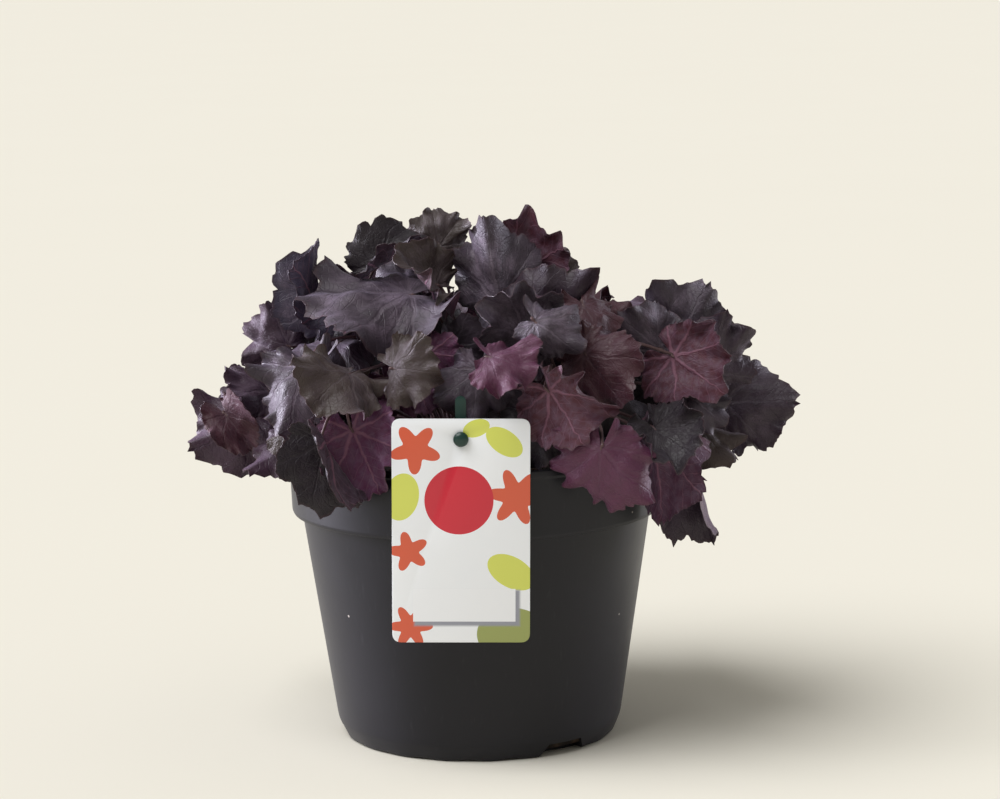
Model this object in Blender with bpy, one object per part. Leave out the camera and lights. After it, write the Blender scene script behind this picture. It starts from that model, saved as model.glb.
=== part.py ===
"""A heuchera with dark ruffled leaves in a round black nursery pot, with its hanging label.

The pot stands on the surface with its axis on +Z and its underside's centre at the origin. The front,
where the label hangs, faces -Y. Sizes are in millimetres up to mesh_object, which makes them metres.
The blades are set out one by one, each clear of the others, and then each stalk is led from its blade
down to the crown by a way that touches nothing.
"""

import math
import random
from collections import namedtuple
from functools import partial
from itertools import islice

import bpy
import numpy as np
from mathutils import Vector
from mathutils.bvhtree import BVHTree

MM = 0.001
GAP = 0.3  # between pieces that rest on each other

# The pot, by its outside
POT_HEIGHT = 180.0
RIM_RADIUS = 115.0
LIP_HEIGHT = 5.0
LIP_PROUD = 1.0
BAND_FOOT_Z = 139.5
BAND_FOOT_RADIUS = 112.6
BODY_TOP_RADIUS = 106.6
CHAMFER_Z = 10.5
CHAMFER_RADIUS = 87.4
FOOT_RADIUS = 83.0
WALL = 1.6
FLOOR_Z = 4.5
POT_SIDES = 48

# Drain slots, cut through the foot and the chamfer, and the round drain holes in the floor
SLOT_AZIMUTHS = (-53.0, 67.0, 187.0)  # degrees, from +X towards +Y
SLOT_HEIGHT = 8.0
SLOT_FOOT_WIDTH = 35.5
SLOT_TOP_WIDTH = 24.0
SLOT_DEPTH = 9.0
DRAIN_HOLE_RADIUS = 6.0
DRAIN_HOLE_RING = 38.0
DRAIN_HOLES = 4

# The soil and the crown that the leaves grow from
SOIL_TOP = 165.0
SOIL_MOUND = 5.0
CROWN_RADIUS = 48.0
CROWN_RISE = 16.0
CROWN_SINK = 10.0
CROWN_SIDES = 24

# The label, a card on a peg
LABEL_WIDTH = 79.5
LABEL_HEIGHT = 131.0
LABEL_THICKNESS = 0.8
LABEL_CORNER = 5.0
LABEL_X = -7.2
LABEL_TOP_Z = 212.4
LABEL_Y = -117.2
LABEL_TILT = 0.9  # degrees, its foot towards -X
LABEL_HOLE_RADIUS = 3.6
LABEL_HOLE_DROP = 12.5
PEG_WIDTH = 6.4
PEG_THICKNESS = 2.4
PEG_Y = -108.0
PEG_TOP_Z = 224.0
PEG_FOOT_Z = 143.5
PEG_HEAD_RADIUS = 4.4
PEG_PIN_RADIUS = 2.6

# Leaves
BLADE_THICKNESS = 0.8
STALK_WIDTH = 1.7
STALK_ROOT_WIDTH = 2.2
STALK_STATIONS = (0.0, 0.25, 0.5, 0.76, 1.0)
NECK = 3.0  # how far the stalk runs on from the blade before it bends away
LOBES = 7
SINUS_ANGLE = 160.0  # degrees from the tip to each side of the notch where the stalk joins
LOBE_POINTS = 3
INNER_RING = 0.55  # share of the way from the stalk to the margin
LABEL_BERTH = 2.5  # kept before and behind the card while the leaves are set out
CLEARANCE = 0.45  # kept round every blade and stalk while they are set out
ROOT_SLOTS = 130
ROOT_GAP = 0.5  # between a large leaf's stalk and the crown
ROOT_SINK = 3.0  # how far a young leaf's stalk goes into the crown
MOVES = 8  # places tried for a blade whose stalk finds no way
YOUNG_LENGTH = 34.5  # a leaf shorter than this is made in one piece with the crown

# The eye's place in front of the pot: leaves seen past each other are told by it
EYE = np.array([15.5, -1800.0, 484.0])

# How a blade is bent: ruffle is the margin's wave as a share of the leaf's length, and the rest are in
# degrees over the leaf: droop turns the tip down, curl the two sides down, and fold lifts both sides
Form = namedtuple("Form", "ruffle droop curl fold")
OPEN = Form(0.15, 28, 25, 0)
CUPPED = Form(0.13, -30, -50, 8)
DOMED = Form(0.14, 60, 60, 0)
FOLDED = Form(0.09, 35, 0, 48)
HANGING = Form(0.13, 45, 70, 0)
CRINKLED = Form(0.19, 40, 30, 0)
RIDGED = Form(0.13, 20, 10, -38)
PINCHED = Form(0.05, 25, 0, 58)

# One line a leaf, as seen from the front. x and z are where the stalk meets the blade, and depth how far
# it stands behind the pot's axis. tip is the way the leaf points: 0 to the right and 90 up, and lean
# how far that way turns towards the eye. The upper side looks up by sky, and to the right by side.
Leaf = namedtuple("Leaf", "x z depth tip lean sky side length form tone")
FRONT_LEAVES = (
    # the top of the mound, left to right
    Leaf(-38, 270, -45, 172, 10, 70, -5, 66, OPEN, "silver"),
    Leaf(-90, 262, -15, 106, 0, 0, -60, 42, PINCHED, "slate"),
    Leaf(-82, 246, -40, 200, 15, 45, -25, 50, OPEN, "aubergine"),
    Leaf(16, 264, -50, 100, 0, 10, -10, 52, RIDGED, "silver"),
    Leaf(24, 272, -25, 38, 0, 20, 200, 44, OPEN, "maroon"),
    Leaf(-58, 287, -18, 36, 0, 80, 0, 35, FOLDED, "dark"),
    Leaf(-20, 299, -15, 100, 0, 0, 0, 26, OPEN, "bronze"),
    Leaf(-22, 276, -45, 145, 20, 25, 0, 34, CUPPED, "bronze"),
    Leaf(-28, 286, -20, 140, 0, 10, 180, 30, OPEN, "maroon"),
    Leaf(-31, 273, -80, -22, 20, 75, 0, 38, CUPPED, "silver"),
    Leaf(-67, 262, -30, 165, 20, 30, -30, 32, OPEN, "plum"),
    Leaf(33, 243, -70, 112, 10, 15, -10, 40, CUPPED, "silver"),
    Leaf(36, 244, -62, 40, 0, 5, 15, 46, OPEN, "aubergine"),
    Leaf(38, 247, -86, -30, 30, 45, 0, 30, DOMED, "silver"),
    Leaf(33, 271, -15, 28, -10, 40, 10, 36, OPEN, "bronze"),
    Leaf(55, 256, -15, 50, 0, 10, 200, 36, OPEN, "maroon"),
    Leaf(78, 240, -40, 60, 10, 5, 10, 34, CRINKLED, "maroon"),
    Leaf(62, 262, -65, -60, 30, 20, 20, 28, CRINKLED, "maroon"),
    # the left side
    Leaf(-104, 226, -68, -110, 30, 35, -20, 42, CRINKLED, "silver"),
    Leaf(-134, 196, -15, 205, 15, 15, -25, 42, OPEN, "plum"),
    Leaf(-76, 222, -80, 195, 60, 60, 0, 38, OPEN, "bronze"),
    Leaf(-108, 240, -10, 160, 0, 10, -50, 32, OPEN, "plum"),
    Leaf(-126, 212, -15, 140, 10, 30, -40, 30, OPEN, "plum"),
    Leaf(-128, 206, 5, 205, 0, -10, -60, 30, OPEN, "dark"),
    Leaf(-152, 198, -35, -50, 30, 10, 20, 28, FOLDED, "maroon"),
    Leaf(-116, 184, -35, 215, 20, 30, -10, 32, OPEN, "plum"),
    Leaf(-98, 186, -60, 235, 30, 40, -20, 34, OPEN, "bronze"),
    Leaf(-83, 191, -60, 190, 30, 20, 0, 34, DOMED, "dark"),
    Leaf(-75, 187, -96, -66, 5, 10, 180, 40, OPEN, "magenta"),
    Leaf(-88, 180, -104, -65, 0, 10, -50, 44, PINCHED, "dark"),
    # the right side
    Leaf(153, 201, -15, 3, 15, 10, 10, 42, OPEN, "aubergine"),
    Leaf(122, 236, -30, 62, 5, 15, 10, 42, OPEN, "silver"),
    Leaf(145, 219, -25, 80, 10, 10, 15, 36, OPEN, "aubergine"),
    Leaf(108, 235, -45, 140, 15, 25, -5, 32, OPEN, "silver"),
    Leaf(116, 230, -42, -35, 20, 20, 180, 38, OPEN, "maroon"),
    Leaf(124, 206, -70, -30, 30, 35, 0, 30, DOMED, "silver"),
    Leaf(107, 216, -45, -80, 10, -10, 0, 34, OPEN, "dark"),
    Leaf(133, 184, -45, -45, 20, 20, 20, 32, OPEN, "bronze"),
    Leaf(110, 180, -66, -40, 30, 50, 0, 36, CUPPED, "dark"),
    Leaf(133, 161, -40, -80, 5, 0, -40, 46, PINCHED, "aubergine"),
    Leaf(104, 172, -88, -78, 0, 10, 150, 42, FOLDED, "plum"),
    Leaf(77, 174, -108, -97, 5, 10, -15, 44, HANGING, "magenta"),
    # the low middle, over the label
    Leaf(68, 232, -85, -55, 30, 15, 0, 38, OPEN, "maroon"),
    Leaf(72, 210, -78, -60, 20, 15, 10, 38, DOMED, "dark"),
    Leaf(45, 205, -98, -50, 10, 10, 180, 38, OPEN, "maroon"),
    Leaf(34, 189, -92, -75, 40, 40, 0, 32, OPEN, "dark"),
    Leaf(16, 218, -92, -45, 25, 20, 5, 40, DOMED, "silver"),
    Leaf(2, 224, -85, -95, 20, 25, 0, 32, OPEN, "silver"),
    Leaf(15, 231, -80, -8, 35, 30, 0, 30, CRINKLED, "magenta"),
    Leaf(-7, 238, -75, -25, 10, 80, 0, 28, FOLDED, "silver"),
    Leaf(-27, 239, -70, -55, 0, 10, 180, 26, OPEN, "magenta"),
    Leaf(-54, 225, -90, 2, 40, 40, 0, 30, OPEN, "bronze"),
    Leaf(-50, 219, -70, -55, 15, 0, 0, 30, OPEN, "magenta"),
    Leaf(-34, 217, -85, -30, 0, 10, 180, 24, OPEN, "magenta"),
    Leaf(-26, 262, -40, -90, 20, 0, 0, 36, OPEN, "dark"),
    Leaf(-80, 236, -12, 80, 0, 5, 0, 36, OPEN, "dark"),
    Leaf(53, 235, -55, -100, 0, 0, 0, 32, OPEN, "maroon"),
    # the dark inside, seen between the stalks
    Leaf(-48, 258, 22, 105, 0, 10, 0, 38, OPEN, "plum"),
    Leaf(-92, 208, 26, 100, -5, 10, 0, 38, OPEN, "dark"),
    Leaf(-60, 196, 44, 96, -5, 10, 0, 38, OPEN, "dark"),
    Leaf(-14, 212, 46, 90, -5, 10, 0, 40, OPEN, "dark"),
    Leaf(46, 204, 42, 84, -5, 10, 0, 40, OPEN, "dark"),
    Leaf(96, 192, 34, 80, -5, 10, 0, 38, OPEN, "dark"),
)

# The side that the front hides: tiers of leaves round the back of the mound, each given by its height
# on the mound in degrees, its number of leaves, their length and how far their tips hang, in degrees
Tier = namedtuple("Tier", "height leaves length hang form")
MOUND_CENTRE = np.array([8.0, 8.0, 178.0])
MOUND_RADII = np.array([128.0, 116.0, 100.0])
BACK_TIERS = (
    Tier(6, 7, 50, 54, HANGING),
    Tier(28, 6, 52, 30, DOMED),
    Tier(52, 4, 50, 12, OPEN),
    Tier(75, 2, 46, 0, OPEN),
)
BACK_FROM = 8.0  # degrees, from +X towards +Y
BACK_TO = 176.0
BACK_TONES = ("aubergine", "silver", "plum", "dark", "maroon")

# What one leaf is made of once it is placed
Blade = namedtuple("Blade", "origin side tip face length form waves notch tone")

TONES = {
    "silver": (0.085, 0.070, 0.098),
    "slate": (0.060, 0.060, 0.090),
    "aubergine": (0.045, 0.030, 0.048),
    "plum": (0.055, 0.028, 0.055),
    "dark": (0.020, 0.012, 0.020),
    "maroon": (0.075, 0.022, 0.036),
    "magenta": (0.100, 0.022, 0.065),
    "bronze": (0.070, 0.048, 0.042),
}


# Vectors


def unit(vector):
    return vector / np.linalg.norm(vector)


def seen(x, z, depth):
    """The point that the eye sees at x, z on the plane through the pot's axis, depth behind that plane."""
    on_plane = np.array([x, 0.0, z])
    return EYE + (on_plane - EYE) * (1.0 - depth / EYE[1])


# The blade: a surface given by rho, from 0 at the stalk to 1 at the margin, and theta, from the tip


def make_blade(origin, tip, face, length, form, tone, seed):
    tip = unit(tip)
    face = unit(face - tip * (face @ tip))
    draw = random.Random(seed)
    waves = [
        (count, share * form.ruffle * draw.uniform(0.75, 1.25), draw.uniform(0, 2 * math.pi), power)
        for count, share, power in ((2, 0.55, 1.8), (3, 0.80, 2.6), (5, 0.75, 3.4), (8, 0.50, 4.5))
    ]
    return Blade(origin, np.cross(tip, face), tip, face, length, form, waves, draw.uniform(0.06, 0.13), tone)


def front_blade(leaf, shift, turn, size):
    tip, lean = math.radians(leaf.tip), math.radians(leaf.lean)
    sky, side = math.radians(leaf.sky + turn), math.radians(leaf.side)
    along = np.array([math.cos(lean) * math.cos(tip), -math.sin(lean), math.cos(lean) * math.sin(tip)])
    face = np.array([math.sin(side) * math.cos(sky), -math.cos(side) * math.cos(sky), math.sin(sky)])
    right, up, back = shift
    origin = seen(leaf.x + right, leaf.z + up, leaf.depth + back)
    seed = 31 * leaf.x + 17 * leaf.z
    return make_blade(origin, along, face, leaf.length * size, leaf.form, leaf.tone, seed)


def back_blade(tier, number, shift, turn, size):
    seed = tier.height + 10 * number
    draw = random.Random(seed)
    step = (BACK_TO - BACK_FROM) / tier.leaves
    azimuth = math.radians(BACK_FROM + step * (number + 0.5) + draw.uniform(-0.2, 0.2) * step)
    height = math.radians(tier.height + draw.uniform(-5, 5))
    outward = np.array([math.cos(azimuth), math.sin(azimuth), 0.0])
    up = np.array([0.0, 0.0, 1.0])
    across = np.cross(up, outward)
    normal = unit(outward * math.cos(height) + up * math.sin(height))
    downhill = unit(outward * math.sin(height) - up * math.cos(height))
    hang = math.radians(tier.hang + turn + draw.uniform(-8, 8))
    lift = math.radians(90.0) - height - hang
    tip = downhill * math.cos(lift) + normal * math.sin(lift) + across * draw.uniform(-0.5, 0.5)
    place = normal * MOUND_RADII
    outwards = draw.uniform(0.80, 0.96) + shift[2] / np.linalg.norm(place)
    origin = MOUND_CENTRE + place * outwards + across * shift[0]
    tone = BACK_TONES[seed % len(BACK_TONES)]
    length = tier.length * draw.uniform(0.85, 1.1) * size
    return make_blade(origin, tip, normal + up * 0.35, length, tier.form, tone, seed)


def outline(blade, theta):
    """How far the margin lies from the stalk's end: a rounded heart of seven shallow round lobes."""
    lobe = theta / math.radians(2 * SINUS_ANGLE / LOBES)
    off_centre = np.abs(2 * (lobe - np.round(lobe)))
    return blade.length * (1 - 0.6 * np.sin(theta / 2) ** 2) * (1 - blade.notch * off_centre**2.5)


def arc(distance, curvature):
    """Where a straight line's point goes along and across when the line bends, and its new direction."""
    if abs(curvature) < 1e-6:
        return distance, 0.0 * distance, 0.0 * distance
    angle = distance * curvature
    return np.sin(angle) / curvature, (1 - np.cos(angle)) / curvature, angle


def surface(blade, rho, theta, reach=0.0):
    """Points of the blade's middle surface. reach moves the margin outwards."""
    form, length = blade.form, blade.length
    radius = rho * (outline(blade, theta) + reach)
    lift = sum(
        length * share * rho**power * np.sin(count * theta + phase)
        for count, share, phase, power in blade.waves
    )
    fold = math.radians(form.fold)
    across = radius * np.sin(theta)
    along = radius * np.cos(theta)
    crease = 0.06 * length
    lift = lift + (np.sqrt(across**2 + crease**2) - crease) * math.sin(fold)
    across = across * math.cos(fold)
    sideways, down, angle = arc(across, math.radians(form.curl) / (0.8 * length))
    across = sideways + lift * np.sin(angle)
    lift = lift * np.cos(angle) - down
    forward, down, angle = arc(along, math.radians(form.droop) / length)
    along = forward + lift * np.sin(angle)
    lift = lift * np.cos(angle) - down
    places = (across, along, lift)
    axes = (blade.side, blade.tip, blade.face)
    return blade.origin + sum(np.outer(place, axis) for place, axis in zip(places, axes))


def strip(inner, outer):
    """Triangles between two runs of points, given as (index, angle), by the lesser next angle."""
    triangles, i, o = [], 0, 0
    while i < len(inner) - 1 or o < len(outer) - 1:
        at_end = i == len(inner) - 1
        if at_end or (o < len(outer) - 1 and outer[o + 1][1] <= inner[i + 1][1] + 1e-9):
            triangles.append((inner[i][0], outer[o + 1][0], outer[o][0]))
            o += 1
        else:
            triangles.append((inner[i][0], inner[i + 1][0], outer[o][0]))
            i += 1
    return triangles


def blade_middle(blade, reach=0.0):
    """The blade as a sheet: its points, its triangles, and its edge from side to side of the stalk."""
    sinus = math.radians(SINUS_ANGLE)
    margin = np.linspace(-sinus, sinus, LOBES * LOBE_POINTS + 1)
    ring = margin[::LOBE_POINTS]
    seat = 1.6 / (0.66 * blade.length)
    rho = np.concatenate([[seat, 0.0, seat], np.full(len(ring), INNER_RING), np.ones(len(margin))])
    theta = np.concatenate([[-2.0, 0.0, 2.0], ring, margin])
    points = surface(blade, rho, theta, reach)
    core = [(0, -1.9), (1, 0.0), (2, 1.9)]
    inner = [(3 + k, angle) for k, angle in enumerate(ring)]
    outer = [(3 + len(ring) + k, angle) for k, angle in enumerate(margin)]
    triangles = strip(core, inner) + strip(inner, outer) + [(0, 2, 1)]
    edge = [0, inner[0][0]] + [index for index, _ in outer] + [inner[-1][0], 2]
    return points, np.array(triangles), edge


def sheet_normals(points, triangles):
    corners = points[triangles]
    faces = np.cross(corners[:, 1] - corners[:, 0], corners[:, 2] - corners[:, 0])
    normals = np.zeros_like(points)
    for corner in range(3):
        np.add.at(normals, triangles[:, corner], faces)
    return normals / np.linalg.norm(normals, axis=1)[:, None]


def blade_shell(blade, extra=0.0):
    """The blade with its thickness: the upper points and then the lower ones, open where the stalk joins."""
    points, triangles, edge = blade_middle(blade, extra)
    offset = sheet_normals(points, triangles) * (BLADE_THICKNESS / 2 + extra)
    count = len(points)
    shell = [*triangles.tolist(), *(triangles[:, ::-1] + count).tolist()]
    for a, b in zip(edge, edge[1:]):
        shell += [(a, b, b + count), (a, b + count, a + count)]
    return np.concatenate([points + offset, points - offset]), shell


# The stalk: a four-sided tube that grows out of the blade's edge in the notch


def stalk_path(blade, dip, root, root_way, first_pull, last_pull, bulge):
    """Points along a curve that leaves the blade dipping below it and ends at its root, along root_way."""
    leave, ease = (-(blade.tip * math.cos(a) + blade.face * math.sin(a)) for a in (dip, dip / 2))
    neck = blade.origin - blade.tip * 0.7 + ease * NECK
    span = np.linalg.norm(root - neck)
    first = neck + leave * span * first_pull
    last = root + root_way * span * last_pull
    t = np.array(STALK_STATIONS)[:, None]
    curve = neck * (1 - t) ** 3 + first * 3 * t * (1 - t) ** 2 + last * 3 * t**2 * (1 - t) + root * t**3
    return curve + bulge * np.sin(math.pi * t)


def stalk_rings(blade, path, collar, extra=0.0):
    """The tube's rings of four points: the collar on the blade's edge, and one at each point of the path."""
    rings = [collar]
    before = collar.mean(axis=0)
    side = unit(collar[1] - collar[0])
    for step, point in enumerate(path):
        after = path[step + 1] if step + 1 < len(path) else point + (point - before)
        way = unit(after - before)
        side = unit(side - way * (side @ way))
        up = np.cross(side, way)
        width = STALK_WIDTH + (STALK_ROOT_WIDTH - STALK_WIDTH) * STALK_STATIONS[step] ** 2
        half = (width / 2 + extra) * np.array([[-1, -1], [1, -1], [1, 1], [-1, 1]])
        rings.append(point + half[:, :1] * side + half[:, 1:] * up)
        before = point
    return rings


def tube_faces(rings, first_index, collar=None):
    """Triangles of a tube through its rings, closed at the far end."""
    faces = []
    for r in range(rings - 1):
        for k in range(4):
            a, b = k, (k + 1) % 4
            low = [first_index + 4 * r + a, first_index + 4 * r + b]
            if r == 0 and collar:
                low = [collar[a], collar[b]]
            high = [first_index + 4 * (r + 1) + a, first_index + 4 * (r + 1) + b]
            faces += [(low[0], high[1], low[1]), (low[0], high[0], high[1])]
    last = first_index + 4 * (rings - 1)
    faces += [(last, last + 2, last + 1), (last, last + 3, last + 2)]
    return faces


def collar_of(points):
    """The four points of the blade's edge that the stalk grows from, round from the upper left one."""
    count = len(points) // 2
    return [0, 2, 2 + count, count]


def whole_leaf(blade, path):
    points, faces = blade_shell(blade)
    collar = collar_of(points)
    rings = stalk_rings(blade, path, points[collar])
    # the collar's points are the blade's own, so the tube's faces use those and skip its first ring
    faces = faces + tube_faces(len(rings), len(points) - 4, collar)
    return np.concatenate([points, *rings[1:]]), faces


# What keeps the leaves apart


class Clutter:
    """All that stands in a newcomer's way so far, as one heap of triangles, each with its owner."""

    def __init__(self):
        self.points, self.faces, self.owners, self.tree = [], [], [], None

    def add(self, points, faces, owner):
        start = len(self.points)
        self.points += points.tolist()
        self.faces += [tuple(start + index for index in face) for face in faces]
        self.owners += [owner] * len(faces)
        self.tree = BVHTree.FromPolygons(self.points, self.faces)

    def forget(self, owner):
        """Clears away one owner's faces."""
        left = [number for number, other in enumerate(self.owners) if other != owner]
        self.faces = [self.faces[number] for number in left]
        self.owners = [self.owners[number] for number in left]
        self.tree = BVHTree.FromPolygons(self.points, self.faces)

    def hits(self, points, faces):
        """Where a newcomer crosses what is here: its own face and the owner of the other, each time."""
        pairs = BVHTree.FromPolygons(points.tolist(), faces).overlap(self.tree)
        return [(own, self.owners[other]) for own, other in pairs]

    def blocks_line(self, path):
        """Whether anything stands on the straight runs between a path's points."""
        runs = [Vector(point) for point in path.tolist()]
        for a, b in zip(runs, runs[1:]):
            if self.tree.ray_cast(a, b - a, (b - a).length)[0] is not None:
                return True
        return False


def blade_shifts():
    """Ways to make room for a blade, the least first: its shift right, up and back, its turn and its size."""
    for size in (1.0, 0.88):
        for step in range(9):
            for right, up in ((0, 0), (5, 0), (-5, 0), (0, -5), (0, 5)):
                for turn in (0.0, 14.0, -14.0, 28.0, -28.0):
                    yield (right, up, 4.0 * step), turn, size
                    yield (right, up, -4.0 * step), turn, size


def clear_blades(maker, clutter):
    """The blades that a maker can give with nothing in their way, the least moved first."""
    for shift, turn, size in blade_shifts():
        blade = maker(shift, turn, size)
        if not clutter.hits(*blade_shell(blade, CLEARANCE)) and not crosses_itself(*blade_shell(blade)):
            yield blade


def root_slots():
    """Places on the crown's dome, spread like a flower head's seeds, and the way that a stalk leaves each."""
    sphere = (CROWN_RADIUS**2 + CROWN_RISE**2) / (2 * CROWN_RISE)
    centre = np.array([0.0, 0.0, SOIL_TOP + SOIL_MOUND + CROWN_RISE - sphere])
    slots = []
    for k in range(ROOT_SLOTS):
        radius = (CROWN_RADIUS - 3.0) * math.sqrt((k + 0.5) / ROOT_SLOTS)
        angle = k * math.radians(137.508)
        flat = np.array([radius * math.cos(angle), radius * math.sin(angle), 0.0])
        way = unit(flat + np.array([0.0, 0.0, math.sqrt(sphere**2 - radius**2)]))
        slots.append((centre + way * sphere, way))
    return slots


def stalk_ways(blade, slots):
    """Ways for a stalk, the likeliest first: its slot, how it leaves the blade, its pulls and its bulges."""
    aim = blade.origin * [0.35, 0.35, 1.0]
    order = sorted(slots, key=lambda k: np.linalg.norm(slots[k][0] - aim))
    pulls = ((0.35, 0.45), (0.2, 0.7), (0.5, 0.3))
    bulges = ((0, 0), (9, 0), (-9, 0), (0, -9), (16, 0), (-16, 0), (0, 8), (12, -14), (-12, -14))
    for reach in range(3):
        for aside, upward in bulges:
            for dip in (30, 60, 0, -35, 85):
                for slot in order[8 * reach : 8 * reach + 8]:
                    for first_pull, last_pull in pulls:
                        yield slot, math.radians(dip), first_pull, last_pull, aside, upward


def is_young(blade):
    return blade.length < YOUNG_LENGTH


def crosses_itself(points, faces):
    """Whether two faces that share no point cross."""
    tree = BVHTree.FromPolygons(points.tolist(), faces)
    return any(a < b and not set(faces[a]) & set(faces[b]) for a, b in tree.overlap(tree))


def clear_way(blade, number, slots, clutter, crown):
    """The first way for a blade's stalk that touches nothing: its slot and its path."""
    first_span = 8  # faces of the tube's first stretch, which starts at the blade's own edge
    points, _ = blade_shell(blade)
    collar = points[collar_of(points)]
    sink = -ROOT_SINK if is_young(blade) else ROOT_GAP
    for slot, dip, first_pull, last_pull, aside, upward in stalk_ways(blade, slots):
        spot, way = slots[slot]
        sideways = unit(np.cross(way, blade.origin - spot))
        bulge = sideways * aside + np.array([0.0, 0.0, upward])
        path = stalk_path(blade, dip, spot + way * sink, way, first_pull, last_pull, bulge)
        if clutter.blocks_line(path):
            continue
        rings = stalk_rings(blade, path, collar, CLEARANCE)
        tube = np.concatenate(rings), tube_faces(len(rings), 0)
        hits = clutter.hits(*tube)
        if any(owner != number or face >= first_span for face, owner in hits):
            continue
        if not is_young(blade) and crown.hits(*tube):
            continue
        if not crosses_itself(*whole_leaf(blade, path)):
            return slot, path, stalk_rings(blade, path, collar)
    return None


def lead(blade, number, slots, clutter, crown):
    """A stalk's path to a slot, which it takes. None where there is no way."""
    found = clear_way(blade, number, slots, clutter, crown)
    if found is None:
        return None
    slot, path, rings = found
    del slots[slot]
    clutter.add(np.concatenate(rings[1:]), tube_faces(len(rings) - 1, 0), -1)
    return path


def stand_whole(maker, number, slots, clutter, crown):
    """A blade where both it and its stalk find room, and the stalk's path, or no blade and no path."""
    for blade in islice(clear_blades(maker, clutter), MOVES):
        path = lead(blade, number, slots, clutter, crown)
        if path is not None:
            clutter.add(*blade_shell(blade), number)
            return blade, path
    return None, None


def set_out(makers, first, clutter, crown):
    """Stands the first leaves whole, then all other blades, and then leads their stalks. A blade whose stalk
    finds no way moves to where it finds one."""
    slots = dict(enumerate(root_slots()))
    blades, paths = [None] * len(makers), [None] * len(makers)
    for k in first:
        blades[k], paths[k] = stand_whole(makers[k], k, slots, clutter, crown)
    for k, maker in enumerate(makers):
        if k not in first:
            blades[k] = next(clear_blades(maker, clutter), None)
        if k not in first and blades[k]:
            clutter.add(*blade_shell(blades[k]), k)
    waiting = [k for k, blade in enumerate(blades) if blade and paths[k] is None]
    for k in sorted(waiting, key=lambda k: -np.linalg.norm(blades[k].origin - MOUND_CENTRE)):
        paths[k] = lead(blades[k], k, slots, clutter, crown)
    for k in [k for k in waiting if paths[k] is None]:
        clutter.forget(k)
        blades[k], paths[k] = stand_whole(makers[k], k, slots, clutter, crown)
    return blades, paths


# Blender objects


def material(name, colour, roughness):
    made = bpy.data.materials.new(name)
    made.use_nodes = True
    shader = made.node_tree.nodes["Principled BSDF"]
    shader.inputs["Base Color"].default_value = (*colour, 1.0)
    shader.inputs["Roughness"].default_value = roughness
    return made


def mesh_object(name, points, faces, finish):
    mesh = bpy.data.meshes.new(name)
    mesh.from_pydata((np.asarray(points) * MM).tolist(), [], [tuple(face) for face in faces])
    mesh.update()
    mesh.materials.append(finish)
    made = bpy.data.objects.new(name, mesh)
    bpy.context.scene.collection.objects.link(made)
    return made


def turned(profile, sides):
    """A closed solid turned round +Z from a closed run of (radius, z), given anticlockwise in that plane."""
    points, faces, rings = [], [], []
    for radius, z in profile:
        if radius == 0:
            rings.append([len(points)] * sides)
            points.append((0.0, 0.0, z))
            continue
        rings.append(list(range(len(points), len(points) + sides)))
        for k in range(sides):
            angle = 2 * math.pi * k / sides
            points.append((radius * math.cos(angle), radius * math.sin(angle), z))
    for low, high in zip(rings, rings[1:] + rings[:1]):
        for k in range(sides):
            a, b, c, d = low[k], low[(k + 1) % sides], high[(k + 1) % sides], high[k]
            faces += [face for face in ((a, b, c), (a, c, d)) if len(set(face)) == 3]
    return np.array(points), faces


def prism(outline_points, low, high):
    """A closed solid: a flat outline, anticlockwise, raised along the third coordinate from low to high."""
    count = len(outline_points)
    points = [(a, b, low) for a, b in outline_points] + [(a, b, high) for a, b in outline_points]
    faces = [tuple(range(count))[::-1], tuple(range(count, 2 * count))]
    faces += [(k, (k + 1) % count, (k + 1) % count + count, k + count) for k in range(count)]
    return np.array(points), faces


def circle(radius, sides, x=0.0, y=0.0):
    steps = [2 * math.pi * k / sides for k in range(sides)]
    return [(x + radius * math.cos(a), y + radius * math.sin(a)) for a in steps]


def apply_boolean(target, operation, cutters):
    """Joins the cutters to the target or cuts it with them, all at once, and removes them."""
    group = bpy.data.collections.new(target.name + "_tools")
    bpy.context.scene.collection.children.link(group)
    for cutter in cutters:
        bpy.context.scene.collection.objects.unlink(cutter)
        group.objects.link(cutter)
    modifier = target.modifiers.new("Boolean", "BOOLEAN")
    modifier.operation = operation
    modifier.operand_type = "COLLECTION"
    modifier.collection = group
    modifier.solver = "MANIFOLD" if operation == "UNION" else "EXACT"
    graph = bpy.context.evaluated_depsgraph_get()
    mesh = bpy.data.meshes.new_from_object(target.evaluated_get(graph))
    target.modifiers.remove(modifier)
    target.data = mesh
    for cutter in list(group.objects):
        bpy.data.objects.remove(cutter)
    bpy.data.collections.remove(group)


# The pieces


def pot_profile():
    band_top = RIM_RADIUS - LIP_PROUD
    slope = (BODY_TOP_RADIUS - CHAMFER_RADIUS) / (BAND_FOOT_Z - CHAMFER_Z)
    floor_radius = CHAMFER_RADIUS - WALL - 1.0
    return [
        (0.0, 0.0),
        (FOOT_RADIUS, 0.0),
        (CHAMFER_RADIUS, CHAMFER_Z),
        (BODY_TOP_RADIUS, BAND_FOOT_Z),
        (BAND_FOOT_RADIUS, BAND_FOOT_Z),
        (band_top, POT_HEIGHT - LIP_HEIGHT),
        (RIM_RADIUS, POT_HEIGHT - LIP_HEIGHT),
        (RIM_RADIUS, POT_HEIGHT),
        (band_top - WALL, POT_HEIGHT),
        (BAND_FOOT_RADIUS - WALL, BAND_FOOT_Z + WALL),
        (BODY_TOP_RADIUS - WALL, BAND_FOOT_Z + WALL),
        (floor_radius + slope * CHAMFER_Z, CHAMFER_Z + 2.0),
        (floor_radius - 3.0, FLOOR_Z),
        (0.0, FLOOR_Z),
    ]


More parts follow.
